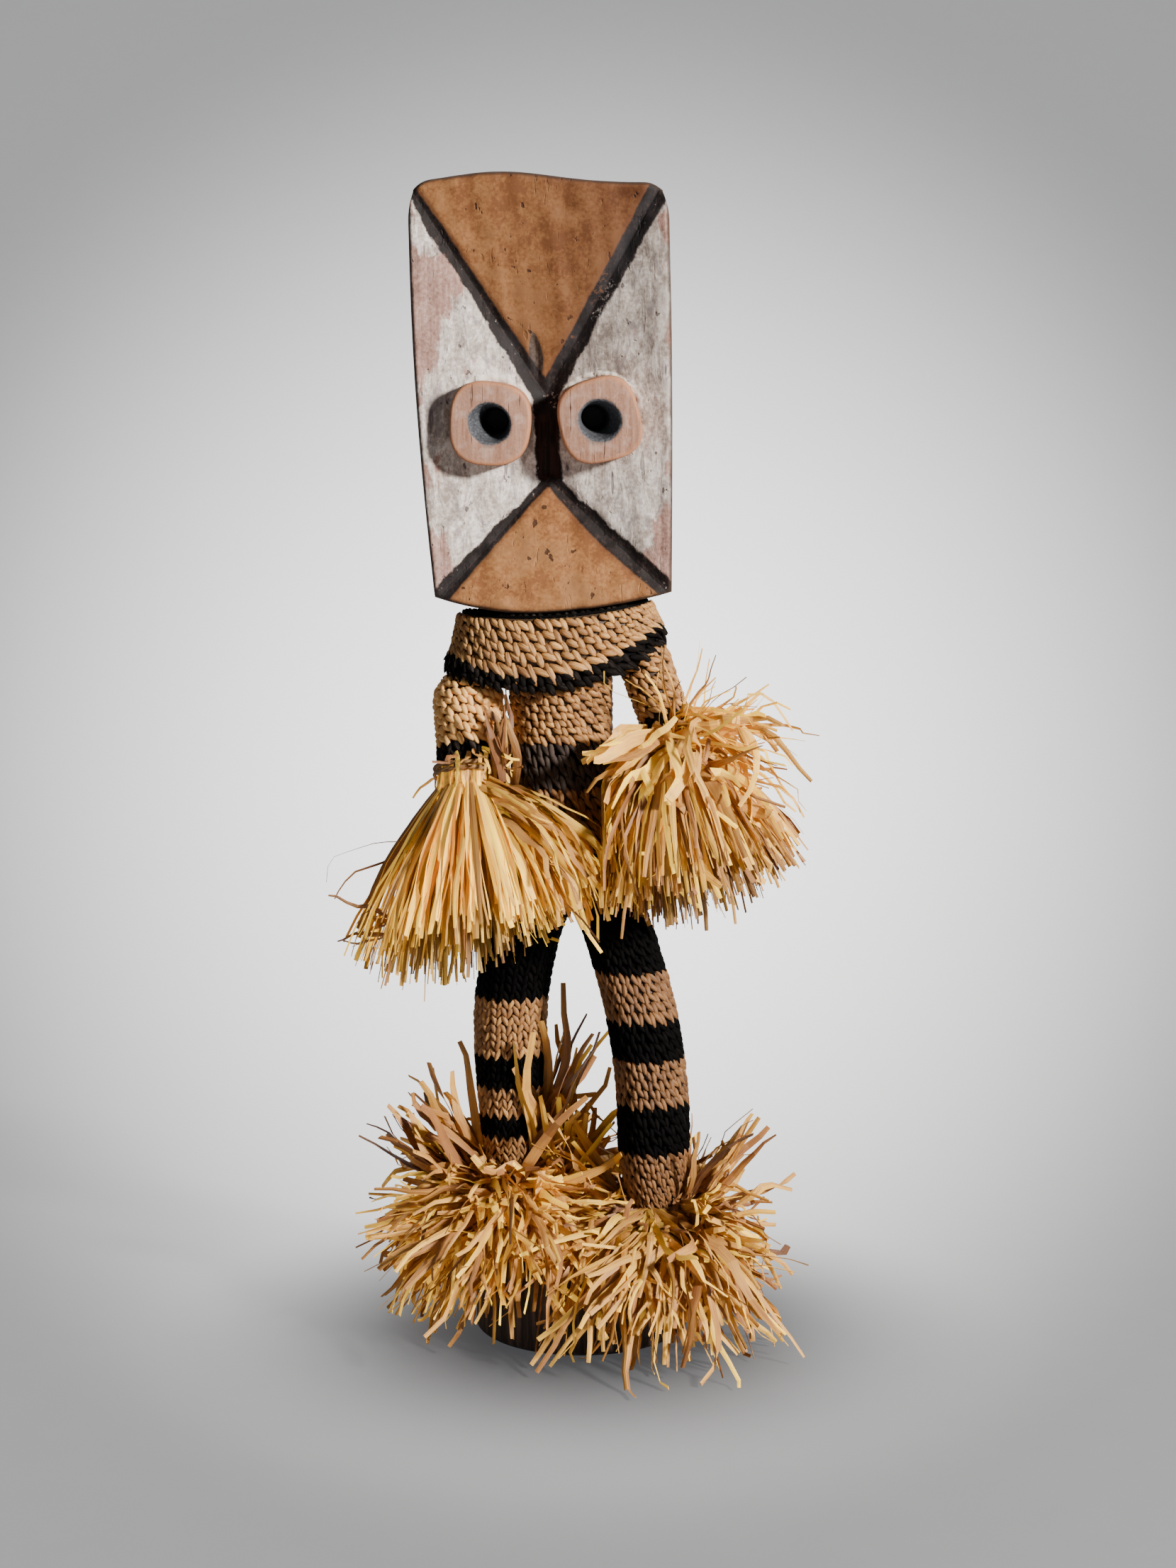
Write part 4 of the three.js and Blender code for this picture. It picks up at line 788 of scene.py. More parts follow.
def lay_strips(name, paths, face, wide, proud, age, rng):
    """Thin closed strips, blunt at the tip, along paths of STRIP_STEPS + 1 points each."""
    count = len(paths)
    along = unit(np.gradient(paths, axis=1))
    side = unit(np.cross(along, face[:, None, :]))
    flat = np.cross(side, along)
    turn = rng.normal(0, 0.9, count)[:, None] * SPAN[None, :]
    cos, sin = np.cos(turn)[..., None], np.sin(turn)[..., None]
    side, flat = side * cos + flat * sin, flat * cos - side * sin
    shape = (0.7 + 0.3 * np.sin(np.pi * np.clip(SPAN * 1.3, 0, 1))) * (1 - 0.35 * SPAN ** 4)
    width = wide[:, None] * shape[None, :]
    depth = np.clip(0.2 * wide, 0.3, 0.75)[:, None] * (1 - 0.4 * SPAN[None, :])
    r = STRIP_RING
    points = (paths[:, r] + STRIP_POINTS[None, :, 0, None] * width[:, r, None] * side[:, r]
              + STRIP_POINTS[None, :, 1, None] * depth[:, r, None] * flat[:, r])
    tag = rng.uniform(0, 1, count)[:, None]
    fibre = np.zeros(points.shape)
    fibre[..., 0] = STRIP_POINTS[None, :, 0] * wide[:, None] * 0.5 + tag * 9
    fibre[..., 1] = STRIP_POINTS[None, :, 2] * 3 + tag * 11
    fibre[..., 2] = tag
    per = len(STRIP_POINTS)
    obj = mesh_object(name, points.reshape(-1, 3) * MM, repeated(STRIP_FACES, count, per), smooth=False)
    give_vector(obj, "fibre", fibre.reshape(-1, 3))
    give_number(obj, "proud", proud[:, r].reshape(-1))
    give_number(obj, "age", np.repeat(age, per))
    return obj


# What the strips keep clear of, and how far they may pass the solids' box
BODY_PARTS = [(trunk_section, HIP_Z, 318.0), (leg_section(RIGHT_LEG), BASE_HEIGHT, HIP_Z),
              (leg_section(LEFT_LEG), BASE_HEIGHT, HIP_Z)]
LIMB_ROOM, BASE_ROOM = 3.2, 2
BOX_SLACK, FLOOR_GAP = 11.0, 1.8
BOX_LOW = np.array(cad_box[0]) / MM - np.array([BOX_SLACK, BOX_SLACK, -FLOOR_GAP])
BOX_HIGH = np.array(cad_box[1]) / MM + BOX_SLACK


def keep_clear(paths, plane=None):
    """Moves points out of the limbs, the base and the floor, and keeps them on their own side."""
    for section, low, high in BODY_PARTS:
        z = paths[..., 2]
        cx, cy, a, b = section(z)
        dx, dy = paths[..., 0] - cx, paths[..., 1] - cy
        reach = np.hypot(dx / (a + LIMB_ROOM), dy / (b + LIMB_ROOM))
        inside = (reach < 1) & (z > low) & (z < high)
        inside[:, :2] = False
        push = np.where(inside, 1 / np.maximum(reach, 0.05), 1.0)
        paths[..., 0] = cx + dx * push
        paths[..., 1] = cy + dy * push
    over = np.hypot(paths[..., 0], paths[..., 1]) < BASE_RADIUS + BASE_ROOM
    paths[..., 2] = np.where(over, np.maximum(paths[..., 2], BASE_HEIGHT + BASE_ROOM), paths[..., 2])
    if plane is not None:
        side, x = plane
        paths[..., 0] = np.maximum(paths[..., 0], x) if side > 0 else np.minimum(paths[..., 0], x)
    return np.clip(paths, BOX_LOW, BOX_HIGH)


def grow(roots, leave, fall, long, bend):
    """Each strand sets off one way and turns little by little to another."""
    share = (((np.arange(STRIP_STEPS) + 0.5) / STRIP_STEPS) ** bend)[None, :, None]
    way = unit(leave[:, None, :] * (1 - share) + fall[:, None, :] * share)
    steps = np.cumsum(way * (long / STRIP_STEPS)[:, None, None], axis=1)
    return np.concatenate([roots[:, None, :], roots[:, None, :] + steps], axis=1)


def wavy(rng, count, amount):
    """A soft random sway for each strand."""
    sway = np.zeros((count, STRIP_STEPS + 1, 3))
    for wave in (0.6, 1.3, 2.3):
        phase = rng.uniform(0, TAU, (count, 1, 3))
        size = rng.normal(0, amount / wave, (count, 1, 3))
        sway += size * (np.sin(TAU * wave * SPAN[None, :, None] + phase) - np.sin(phase)) * SPAN[None, :, None]
    return sway


class Bundle:
    """Strands gathered for one piece."""

    def __init__(self, seed, plane=None):
        self.rng = np.random.default_rng(seed)
        self.plane = plane
        self.paths, self.face, self.wide, self.proud, self.age = [], [], [], [], []

    def add(self, roots, leave, fall, long, wide, bend=1.0, sway=2.0, bright=(0.2, 1.0), age=0.3, face=0.0,
            free=False):
        """Strands from their roots, with the ways they leave and fall; bright is the painted light and shade at
        root and tip.
        """
        count = len(roots)
        paths = grow(roots, unit(leave), unit(fall), long, bend) + wavy(self.rng, count, sway)
        self.paths.append(keep_clear(paths, None if free else self.plane))
        self.face.append(self.rng.normal(0, 0.5, (count, 3)) + face)
        self.wide.append(wide)
        root, tip = [np.broadcast_to(np.asarray(value, dtype=float), count)[:, None] for value in bright]
        self.proud.append(np.clip(root + (tip - root) * SPAN[None, :], 0, 1))
        self.age.append(np.clip(age + self.rng.normal(0, 0.27, count), 0, 1))

    def spray(self, count, root, leave, fall, long, wide, at=0.0, bright=(0.2, 1.0), **options):
        """A loose tuft: root, leave and fall are a middle and a spread, long is a range."""
        roots = at + self.some(count, *root)
        leave = self.some(count, *leave)
        fall = self.some(count, *fall) if isinstance(fall, tuple) else leave + self.some(count, 0.0, fall)
        long = self.between(count, *long)
        if isinstance(wide, list):
            wide = self.widths(count, wide)
        else:
            wide = self.between(count, *wide) if isinstance(wide, tuple) else np.full(count, wide)
        bright = [self.between(count, *value) if isinstance(value, tuple) else value for value in bright]
        self.add(roots, leave, fall, long, wide, bright=bright, **options)

    def some(self, count, middle, spread):
        return self.rng.normal(middle, spread, (count, 3))

    def between(self, count, low, high):
        return self.rng.uniform(low, high, count)

    def widths(self, count, sizes, shares=(0.3, 0.4, 0.3)):
        return self.rng.choice(sizes, count, p=shares) * self.rng.uniform(0.85, 1.15, count)

    def made(self, name, body, node):
        arrays = [np.concatenate(part) for part in (self.paths, self.face, self.wide, self.proud, self.age)]
        piece = lay_strips(name, *arrays, self.rng)
        return dress(piece, body, "raffia", RAFFIA, node)


HEADING_WALL, SUIT_WALL = 4.6, 4.2
HEADING_STRIPS, HEADING_LONG = 90, 20.0


def wrist_roots(arm, angle, s, radius):
    turn = np.array(arm_turn(arm))
    out = outward(angle) @ turn[:3, :3].T
    centre = moved(np.stack([0 * s, 0 * s, -s], axis=-1), turn)
    return centre + out * radius, out, -turn[:3, 2]


def wrist_skirt(arm, axis, length, hem, count, bundle_age, least, seed, plane):
    """A straight-sided tent of strips under the tie, and the heading the tie holds."""
    bundle = Bundle(seed, plane)
    outer = arm["wrist"] - SUIT_WALL + HEADING_WALL
    axis = unit(axis)
    part = bundle.between(count, 0, 1) ** 0.55
    s = arm["end"] - 1.5 - part * 10.0
    roots, out, down = wrist_roots(arm, bundle.between(count, 0, TAU), s, outer - 1.5)
    leave = axis + out * (0.85 * part[:, None])
    fall = axis + out * (0.42 * part[:, None])
    wide = bundle.widths(count, [1.6, 2.6, 3.8, 5.4], [0.24, 0.36, 0.28, 0.12])
    # Painted light and shade: strips deeper in the bundle are painted darker, outer ones lighter
    shown = np.clip(part + bundle.rng.normal(0, 0.27, count), 0, 1) ** 1.6
    long = length * bundle.between(count, 0.86, 1.05) * (1 - hem * out[:, 0])
    bright = (least + (0.7 - least) * shown, least + 0.1 + (0.9 - least) * shown)
    bundle.add(roots, leave, fall, long, wide, bend=0.9, sway=0.9, bright=bright, age=bundle_age, face=1.6 * out)
    heads = HEADING_STRIPS
    under_tie = np.full(heads, arm["cuff"] + 0.8)
    roots, out, down = wrist_roots(arm, bundle.between(heads, 0, TAU), under_tie, outer - 0.6)
    leave = np.repeat(down[None, :], heads, axis=0)
    bundle.add(roots, leave, leave + 0.15 * out, np.full(heads, HEADING_LONG),
               bundle.widths(heads, [2.0, 2.6, 3.4]), sway=0.3, bright=(0.75, 0.9), age=0.15, face=2.0 * out)
    return bundle


right_skirt = wrist_skirt(RIGHT_ARM, (0.05, -0.22, -0.97), 77.0, 0.14, 580, 0.02, 0.06, 101, (-1, 9.5))
# Strips thrown across the front, browner ones behind them in painted shade, wisps at the hem, two long strays,
# strips in the slit
right_skirt.spray(170, ((-40, -25, 257), (4, 4, 4)), ((0.9, -0.4, -0.12), 0.18), ((0.38, -0.1, -1.0), 0.14),
                  (44, 70), [2.0, 3.2, 4.6], bend=0.8, bright=((0.1, 0.8), (0.4, 1.0)), age=0.2)
right_skirt.spray(130, ((-34, -16, 250), 4), ((1.0, -0.2, -0.3), 0.2), ((0.5, -0.1, -1.0), 0.16),
                  (36, 58), [2.0, 3.0, 4.2], bend=0.7, bright=(0.0, 0.45), age=0.75)
right_skirt.spray(9, ((-86, -42, 203), (4, 8, 5)), ((-1, -0.2, -0.15), 0.3), ((-1.0, -0.2, -0.25), 0.35),
                  (12, 22), (1.4, 2.6), sway=1.6, bright=(0.3, 0.4), age=0.8)
right_skirt.spray(2, ((-76, -34, 238), 1.5), ((-1, -0.1, 0.05), 0.08), ((-0.1, -0.1, -1.0), 0.2),
                  (46, 56), 1.2, bend=2.2, sway=1.5, bright=(0.0, 0.0), age=1.0)
right_skirt.spray(18, ((-35, -24, 262), (1.8, 2.5, 4)), ((0.0, -0.2, 1), 0.1), ((-0.03, -0.05, 1), 0.12),
                  (26, 44), (3.0, 5.4), sway=1.4, bright=(0.2, 0.42), age=0.8)
# Short ends that stand out round the cuff
turn = right_skirt.between(26, 0, TAU)
roots, out, down = wrist_roots(RIGHT_ARM, turn, right_skirt.between(26, 24.0, 33.0), RIGHT_ARM["wrist"] + 1.6)
leave = out + 0.5 * down + right_skirt.some(26, 0.0, 0.35)
fall = out + 1.6 * down + right_skirt.some(26, 0.0, 0.4)
right_skirt.add(roots, leave, fall, right_skirt.between(26, 10, 22), right_skirt.between(26, 1.6, 3.4),
                sway=1.4, bright=(0.7, 0.9), age=0.35, face=out)
right_skirt.made("right_wrist_raffia", "right_arm", "right_wrist_skirt")

left_skirt = wrist_skirt(LEFT_ARM, (0.2, -0.26, -0.94), 74.0, 0.0, 520, 0.46, 0.0, 102, (1, 10.6))
wrist = np.array(LEFT_ARM["hinge"]) + np.array(LEFT_ARM["aim"]) * 40.0
# A burst to the side, thin wisps, broad folded strips, curls over the front, and strips towards the other skirt
left_skirt.spray(60, ((5, -8, 2), 6), ((0.7, -0.5, 0.35), (0.5, 0.3, 0.4)), ((0.9, -0.3, -0.6), 0.3),
                 (30, 60), [1.8, 3.2, 5.0], at=wrist, bend=0.8, sway=3.5, bright=(0.6, 1.0), age=0.3)
left_skirt.spray(26, ((3, -6, 2), 5), ((0.5, -0.2, 0.8), (0.5, 0.25, 0.35)), 0.15,
                 (24, 50), (1.0, 2.0), at=wrist, sway=1.4, bright=(0.7, 1.0), age=0.3)
left_skirt.spray(18, ((-4, -13, 2), 3), ((-0.9, -0.35, -0.2), 0.24), ((-0.7, -0.3, -0.7), 0.28),
                 (24, 44), (4.0, 7.4), at=wrist, bend=1.5, sway=1.8, bright=(0.55, 1.0), age=0.42,
                 face=np.array([0.0, -1.8, 0.6]), free=True)
left_skirt.spray(120, ((7, -23, -16), (12, 4, 12)), ((0.3, -0.4, -0.8), (0.6, 0.3, 0.3)),
                 ((0.25, -0.1, -1.0), (0.6, 0.2, 0.3)), (18, 40), (2.6, 6.0), at=wrist, bend=1.2, sway=2.2,
                 bright=(0.6, 1.0), age=0.32, face=np.array([0.0, -1.6, 0.3]))
left_skirt.spray(170, ((-4, -8, -6), 4), ((-1.0, -0.5, -0.35), 0.24), ((0.0, -0.2, -1.0), 0.14),
                 (42, 78), [1.8, 2.8, 4.0], at=wrist, bend=0.6, bright=(0.1, 0.8), age=0.55)
left_skirt.made("left_wrist_raffia", "left_arm", "left_wrist_skirt")


RUFF_INNER = 8.0
BROAD, BROADISH = [3.0, 4.4, 6.2], [3.0, 4.4, 6.0]
MIXED, NARROW, FINE = [2.6, 3.8, 5.4], [2.6, 3.8, 5.2], [2.6, 3.6, 5.0]


def ankle_ruff(leg, seed, tiers):
    """Tiers of strips: how many, rise, length, droop, sway, widths, painted light and shade, age and part of the
    round.
    """
    bundle = Bundle(seed)
    bottom, top = BASE_HEIGHT + 7.0, leg["ankle"] - 1.0
    up = np.array([0, 0, 1.0])
    for count, rise, long, droop, sway, sizes, bright, age, round_part in tiers:
        angle = np.radians(bundle.between(count, *round_part))
        share = bundle.between(count, 0, 1)
        tilt = np.radians(rise[0] + (rise[1] - rise[0]) * share)
        out = outward(angle)
        reach = RUFF_INNER + 20.0 * bundle.between(count, 0, 1) ** 2
        roots = out * reach[:, None] + np.array([*leg["foot"], 0])
        height = np.clip(share + bundle.rng.normal(0, 0.2, count), 0, 1)
        roots[:, 2] = bottom + (top - bottom) * height - 0.3 * (reach - RUFF_INNER)
        astray = np.cross(up, out) * bundle.rng.normal(0, 0.7, count)[:, None]
        leave = out * np.cos(tilt)[:, None] + astray + np.sin(tilt)[:, None] * up
        fall = leave + astray - (droop * bundle.between(count, 0.2, 1.0))[:, None] * up
        bundle.add(roots, leave, fall, bundle.between(count, *long), bundle.widths(count, sizes), sway=sway,
                   bright=bright, age=age, face=0.8 * (out + up))
    return bundle


ALL_ROUND = (0, 360)
right_ruff = ankle_ruff(RIGHT_LEG, 111, [
    (330, (-50, 60), (20, 42), 0.7, 3.0, BROAD, (0.2, 0.85), 0.5, ALL_ROUND),
    (300, (-35, 50), (30, 49), 0.7, 2.2, NARROW, (0.25, 0.95), 0.36, ALL_ROUND),
    (240, (-20, 30), (34, 52), 1.8, 2.4, MIXED, (0.25, 0.95), 0.4, ALL_ROUND),
    (170, (-45, 0), (42, 66), 2.6, 2.2, FINE, (0.25, 0.95), 0.36, (140, 250)),
    (150, (-14, 14), (54, 80), 1.5, 2.2, FINE, (0.25, 0.9), 0.45, (238, 318)),
    (90, (0, 55), (24, 46), 0.8, 2.4, BROAD, (0.15, 0.6), 0.9, (-50, 40)),
    (26, (40, 70), (40, 70), 0.2, 2.0, BROADISH, (0.2, 0.7), 0.65, ALL_ROUND),
])
# Tall strips that stand up beside the legs
RIGHT_TUFTS = [
    (12, (-42.0, 10.0, 66.0), (-0.42, -0.1, 1.0), (50, 70)),
    (22, (-24.0, 14.0, 66.0), (0.3, -0.1, 1.0), (50, 88)),
    (30, (-46.0, 6.0, 60.0), (-0.85, -0.1, 0.75), (40, 68)),
    (60, (-6.0, 8.0, 58.0), (0.12, -0.15, 1.0), (24, 52)),
]
for count, root, way, long in RIGHT_TUFTS:
    right_ruff.spray(count, (root, 4.0), (way, 0.16), (way, 0.22), long, (3.8, 7.0),
                     sway=2.0, bright=(0.3, 0.75), age=0.65)
right_ruff.made("right_ankle_raffia", "figure", "right_ankle_ruff")

left_ruff = ankle_ruff(LEFT_LEG, 112, [
    (260, (-50, 45), (20, 40), 0.7, 3.0, BROAD, (0.15, 0.8), 0.6, (-30, 210)),
    (190, (-65, -15), (18, 40), 0.8, 3.0, BROADISH, (0.2, 0.85), 0.5, (200, 340)),
    (240, (-40, 45), (30, 49), 0.7, 2.2, NARROW, (0.2, 0.9), 0.5, (-35, 200)),
    (260, (-35, 5), (36, 56), 2.4, 2.4, MIXED, (0.2, 0.85), 0.5, ALL_ROUND),
    (200, (-40, -8), (46, 76), 2.4, 2.4, NARROW, (0.2, 0.9), 0.45, (200, 330)),
    (26, (40, 70), (44, 66), 0.2, 2.0, MIXED, (0.1, 0.65), 0.65, (-30, 190)),
])
left_ruff.spray(20, ((48.0, -14.0, 56.0), 4.0), ((0.55, -0.05, 0.95), 0.18), ((0.6, -0.05, 0.9), 0.2),
                (36, 62), (3.4, 6.0), sway=2.0, bright=(0.3, 0.75), age=0.6)
left_ruff.made("left_ankle_raffia", "figure", "left_ankle_ruff")


# Ties: two strands twisted round each other and wound round the heading

TIE_TURNS, TIE_PITCH, TIE_STAND, TIE_TWISTS = 2.0, 2.8, 1.4, 13
TIE_STEPS, STRAND_SIDES = 120, 6
STRAND_RADIUS, STRAND_OFFSET = 0.8, 0.55
CORD_ZONE = 8.8
ANKLE_CORE, ANKLE_STAND = 6.3, 6


def tie(place, inner, turn, body, node):
    radius = inner + HEADING_WALL + TIE_STAND
    points, fibre, faces = [], [], []
    for strand in range(2):
        start = len(points)
        for i in range(TIE_STEPS + 1):
            t = i / TIE_STEPS
            angle = TAU * TIE_TURNS * t
            twist = TAU * TIE_TWISTS * t + math.pi * strand
            here = radius + STRAND_OFFSET * math.cos(twist)
            z = (t - 0.5) * TIE_TURNS * TIE_PITCH + STRAND_OFFSET * math.sin(twist)
            for k in range(STRAND_SIDES):
                a = TAU * k / STRAND_SIDES
                r = here + STRAND_RADIUS * math.cos(a)
                points.append((r * math.cos(angle), r * math.sin(angle), z + STRAND_RADIUS * math.sin(a)))
                fibre.append((math.cos(a), t * 60 + strand * 7, 0.3 + 0.4 * strand))
        sides = ring_faces(TIE_STEPS + 1, STRAND_SIDES, start)
        faces.extend([face[0], *face[:0:-1]] for face in sides)
        faces.append([start + k for k in range(STRAND_SIDES)])
        faces.append([start + TIE_STEPS * STRAND_SIDES + k for k in reversed(range(STRAND_SIDES))])
    local = np.array(points) + np.array([0, 0, place])
    obj = mesh_object(node + "_twist", moved(local, turn) * MM, faces)
    give_vector(obj, "fibre", fibre)
    give_number(obj, "proud", np.ones(len(points)))
    give_number(obj, "tone_and_light", np.zeros(len(points)))
    return dress(obj, body, "tie_cord", TIE, node)


for side, arm in (("right", RIGHT_ARM), ("left", LEFT_ARM)):
    tie(-arm["cuff"] - CORD_ZONE / 2, arm["wrist"] - SUIT_WALL, arm_turn(arm), f"{side}_arm", f"{side}_wrist_cord")
for side, leg in (("right", RIGHT_LEG), ("left", LEFT_LEG)):
    foot = Matrix.Translation(Vector((*leg["foot"], 0)))
    tie((BASE_HEIGHT + ANKLE_STAND + leg["ankle"]) / 2, ANKLE_CORE, foot, "figure", f"{side}_ankle_cord")


# Head

HEAD_TURN = Matrix.Translation(Vector((-12.4, 0, 347.0))) @ Matrix.Rotation(math.radians(-2.1), 4, "Y")
FACE_Y = -22.0
HEAD_DEPTH, SIDE_DEPTH = 46.0, 13.0
HEAD_HALF, HEAD_SPREAD, HEAD_SIDES = 54.0, 4.5, 186.0
CORNER_FROM, CORNER_TALL, CORNER_CUT = 178.0, 11.0, 2.6
ROWS_FROM, ROWS_TALL = 3.0, 187.0
NOSE_LOW, NOSE_TOP, NOSE_HALF = 57.0, 94.0, 5.6
DISH = 13.0
EDGE_ROUND = 2.6
GROOVE_HALF, GROOVE_DEEP, NOSE_DEEP = 4.4, 1.9, 2.6
EYES = [(-25.6, 83.0), (24.0, 82.6)]
EYE_WIDE, EYE_TALL, EYE_HOLE = 17.9, 18.4, 8.9
EYE_SINK, EYE_FRONT, EYE_BORE, EYE_LIP = 13.6, 9.0, 17.0, 1.4


def half_width(u, w):
    """Half width of the head at a height: the figure's right side bows out a little more."""
    t = np.clip(w / HEAD_SIDES, 0, 1)
    spread = HEAD_SPREAD * np.sin(0.5 * np.pi * np.clip(t * 1.25, 0, 1))
    bow = np.where(u < 0, 0.9, -0.6) * np.sin(np.pi * t)
    corner = np.clip((w - CORNER_FROM) / CORNER_TALL, 0, 1)
    return HEAD_HALF + spread + bow - CORNER_CUT * corner ** 2.4


def bottom_line(u):
    """The chin: lowest a little to the figure's right, steeper on that side."""
    away = u + 6.0
    right, left = 8.9 * (np.abs(away) / 48.0) ** 1.9, 7.6 * (np.abs(away) / 61.0) ** 1.8
    return -3.9 + np.where(away < 0, right, left)


def top_line(u):
    """The wavy upper edge, with its peak on the figure's right and both corners rounded off."""
    t = np.clip((u + 58.5) / 117.0, 0, 1)
    peak = np.exp(-((u + 17.0) / 34.0) ** 2)
    drop = 4.6 * np.clip((np.abs(u) - 47.0) / 10.0, 0, 1.2) ** 2.4
    return 190.0 + 5.5 * peak - 3.0 * t - drop


# Painted lines, nose to corner: half widths towards the wood field and towards the cheek
LINE_STEPS = [0.0, 0.3, 0.5, 0.8, 1.0]
LINES = [
    ((0.0, NOSE_TOP), (-57.0, 188.0), [4.4, 3.4, 3.0, 3.0, 2.2], [5.4, 4.6, 3.2, 4.0, 2.0]),
    ((0.0, NOSE_TOP), (55.0, 186.0), [4.4, 4.2, 4.2, 4.4, 4.6], [4.6, 4.6, 4.2, 4.8, 5.6]),
    ((0.0, NOSE_LOW), (-54.0, 4.0), [2.0, 2.4, 3.0, 3.8, 4.8], [2.0, 2.2, 3.2, 3.4, 3.8]),
    ((0.0, NOSE_LOW), (54.0, 3.0), [2.6, 5.2, 5.8, 5.0, 4.0], [2.4, 2.8, 3.0, 3.4, 3.8]),
]


def to_segment(u, w, start, end):
    ax, ay = start
    bx, by = end
    t = np.clip(((u - ax) * (bx - ax) + (w - ay) * (by - ay)) / ((bx - ax) ** 2 + (by - ay) ** 2), 0, 1)
    return np.hypot(u - ax - t * (bx - ax), w - ay - t * (by - ay)), t


def cheek_field(u, w):
    """Above 0 on the white side fields, below 0 on the two wood ones."""
    upper = np.interp(w, [NOSE_TOP, 187.0], [0.0, 56.5])
    lower = np.interp(w, [2.0, NOSE_LOW], [54.0, 0.0])
    edge = np.where(w > (NOSE_LOW + NOSE_TOP) / 2, upper, lower)
    return (np.abs(u) - edge) * 0.86


def paint_lines(u, w):
    """Signed distance to the black lines, below 0 inside, and how far groove and nose slot are cut."""
    best = np.full(u.shape, 1e3)
    groove = np.zeros(u.shape)
    cheek = cheek_field(u, w) > 0
    for start, end, woodward, cheekward in LINES:
        away, t = to_segment(u, w, start, end)
        half = np.where(cheek, np.interp(t, LINE_STEPS, cheekward), np.interp(t, LINE_STEPS, woodward))
        best = np.minimum(best, away - half)
        groove = np.maximum(groove, np.clip(1 - away / GROOVE_HALF, 0, 1))
    nose = np.maximum(np.abs(u) - NOSE_HALF, np.maximum(w - NOSE_TOP - 1, NOSE_LOW - 1 - w))
    slot = np.clip(-nose / 2.0, 0, 1) * np.clip((NOSE_TOP - 4.0 - w) / 8.0, 0, 1)
    return np.minimum(best, nose), groove, slot


GOUGE = ((-3.0, 104.0), (-5.0, 124.0))


def gouge_field(u, w):
    """A leaf-shaped knife cut over the nose: above 0 inside."""
    away, t = to_segment(u, w, *GOUGE)
    return 3.3 * np.sin(np.pi * np.clip(0.12 + 0.88 * t, 0, 1)) ** 0.8 - away


def soft_least(a, b, k):
    h = np.clip(0.5 + 0.5 * (b - a) / k, 0, 1)
    return b + (a - b) * h - k * h * (1 - h)


def lumps(u, w, seed, scale, amount):
    rng = np.random.default_rng(seed)
    total = np.zeros(u.shape)
    for i in range(7):
        k = rng.normal(0, 1 / scale, 2)
        total += np.sin(TAU * (k[0] * u + k[1] * w) + rng.uniform(0, TAU))
    return total * amount / 7


# Rubbed places on the cheeks: across, up, reach and how much
WORN = [
    (-58.0, 150.0, 9.0, 1.0), (-56.0, 130.0, 10.0, 1.1), (-54.0, 112.0, 7.0, 0.9), (-46.0, 147.0, 9.0, 1.0),
    (-40.0, 150.0, 6.0, 0.9), (-52.0, 30.0, 7.0, 0.7), (-50.0, 14.0, 9.0, 0.9), (55.0, 34.0, 7.0, 1.0),
    (53.0, 18.0, 9.0, 1.3), (56.0, 60.0, 6.0, 0.5), (57.0, 165.0, 6.0, 0.6), (56.0, 120.0, 5.0, 0.4),
    (-50.0, 62.0, 7.0, 0.5), (-34.0, 108.0, 5.0, 0.5),
]


def eye_reach(u, w, x, z):
    """Distance from the middle of an eye tube, 1 at its wall."""
    return np.hypot((u - x) / EYE_WIDE, (w - z) / EYE_TALL)


def ridge_field(u, w):
    """Paint heaped against the upper feet of the tubes."""
    heap = np.zeros(u.shape)
    for x, z in EYES:
        above = np.clip((w - z) / EYE_TALL + 0.2, 0, 1)
        heap = np.maximum(heap, above * np.exp(-((eye_reach(u, w, x, z) - 1.14) / 0.1) ** 2))
    return heap


def worn_field(u, w):
    total = 0
    for x, z, reach, much in WORN:
        total = total + much * np.exp(-((u - x) ** 2 + 0.6 * (w - z) ** 2) / (reach * reach))
    return total


def face_depth(u, w):
    """How far the carved face lies behind its front plane, and the distance to its edge."""
    side = DISH * (1 - np.abs(u) / 57.0)
    top = DISH * (1 - (w - NOSE_TOP) / (189.0 - NOSE_TOP))
    low = DISH * (1 - (NOSE_LOW - w) / NOSE_LOW)
    depth = np.maximum(soft_least(soft_least(side, top, 1.0), low, 1.0), 0)
    _, groove, nose = paint_lines(u, w)
    depth = depth + np.maximum(GROOVE_DEEP * groove, NOSE_DEEP * nose)
    depth = depth + 2.0 * np.clip(gouge_field(u, w) / 2.4, 0, 1)
    depth = depth + lumps(u, w, 3, 46.0, 1.2) + lumps(u, w, 5, 15.0, 0.45)
    depth = depth - ridge_field(u, w) * np.clip(0.8 + lumps(u, w, 12, 6.0, 2.4), 0.1, 1.6)
    for x, z in EYES:
        depth = np.where(eye_reach(u, w, x, z) < 0.85, np.maximum(depth, EYE_SINK + 0.8), depth)
    inset = np.minimum(half_width(u, w) - np.abs(u), np.minimum(top_line(u) - w, w - bottom_line(u)))
    soft = np.clip(1 - inset / EDGE_ROUND, 0, 1)
    return depth + EDGE_ROUND * (1 - np.sqrt(np.clip(1 - soft * soft, 0, 1))), inset


# What the paint knows of each point of the head, with the values on the plain back
BACK_FACTS = {"line": 20.0, "white": -9.0, "rim": 20.0, "behind": 1.0, "worn": 0.0, "nose": 0.0,
              "brow_shade": 0.0, "dim": 0.0, "gouge": -9.0, "ridge": 0.0}


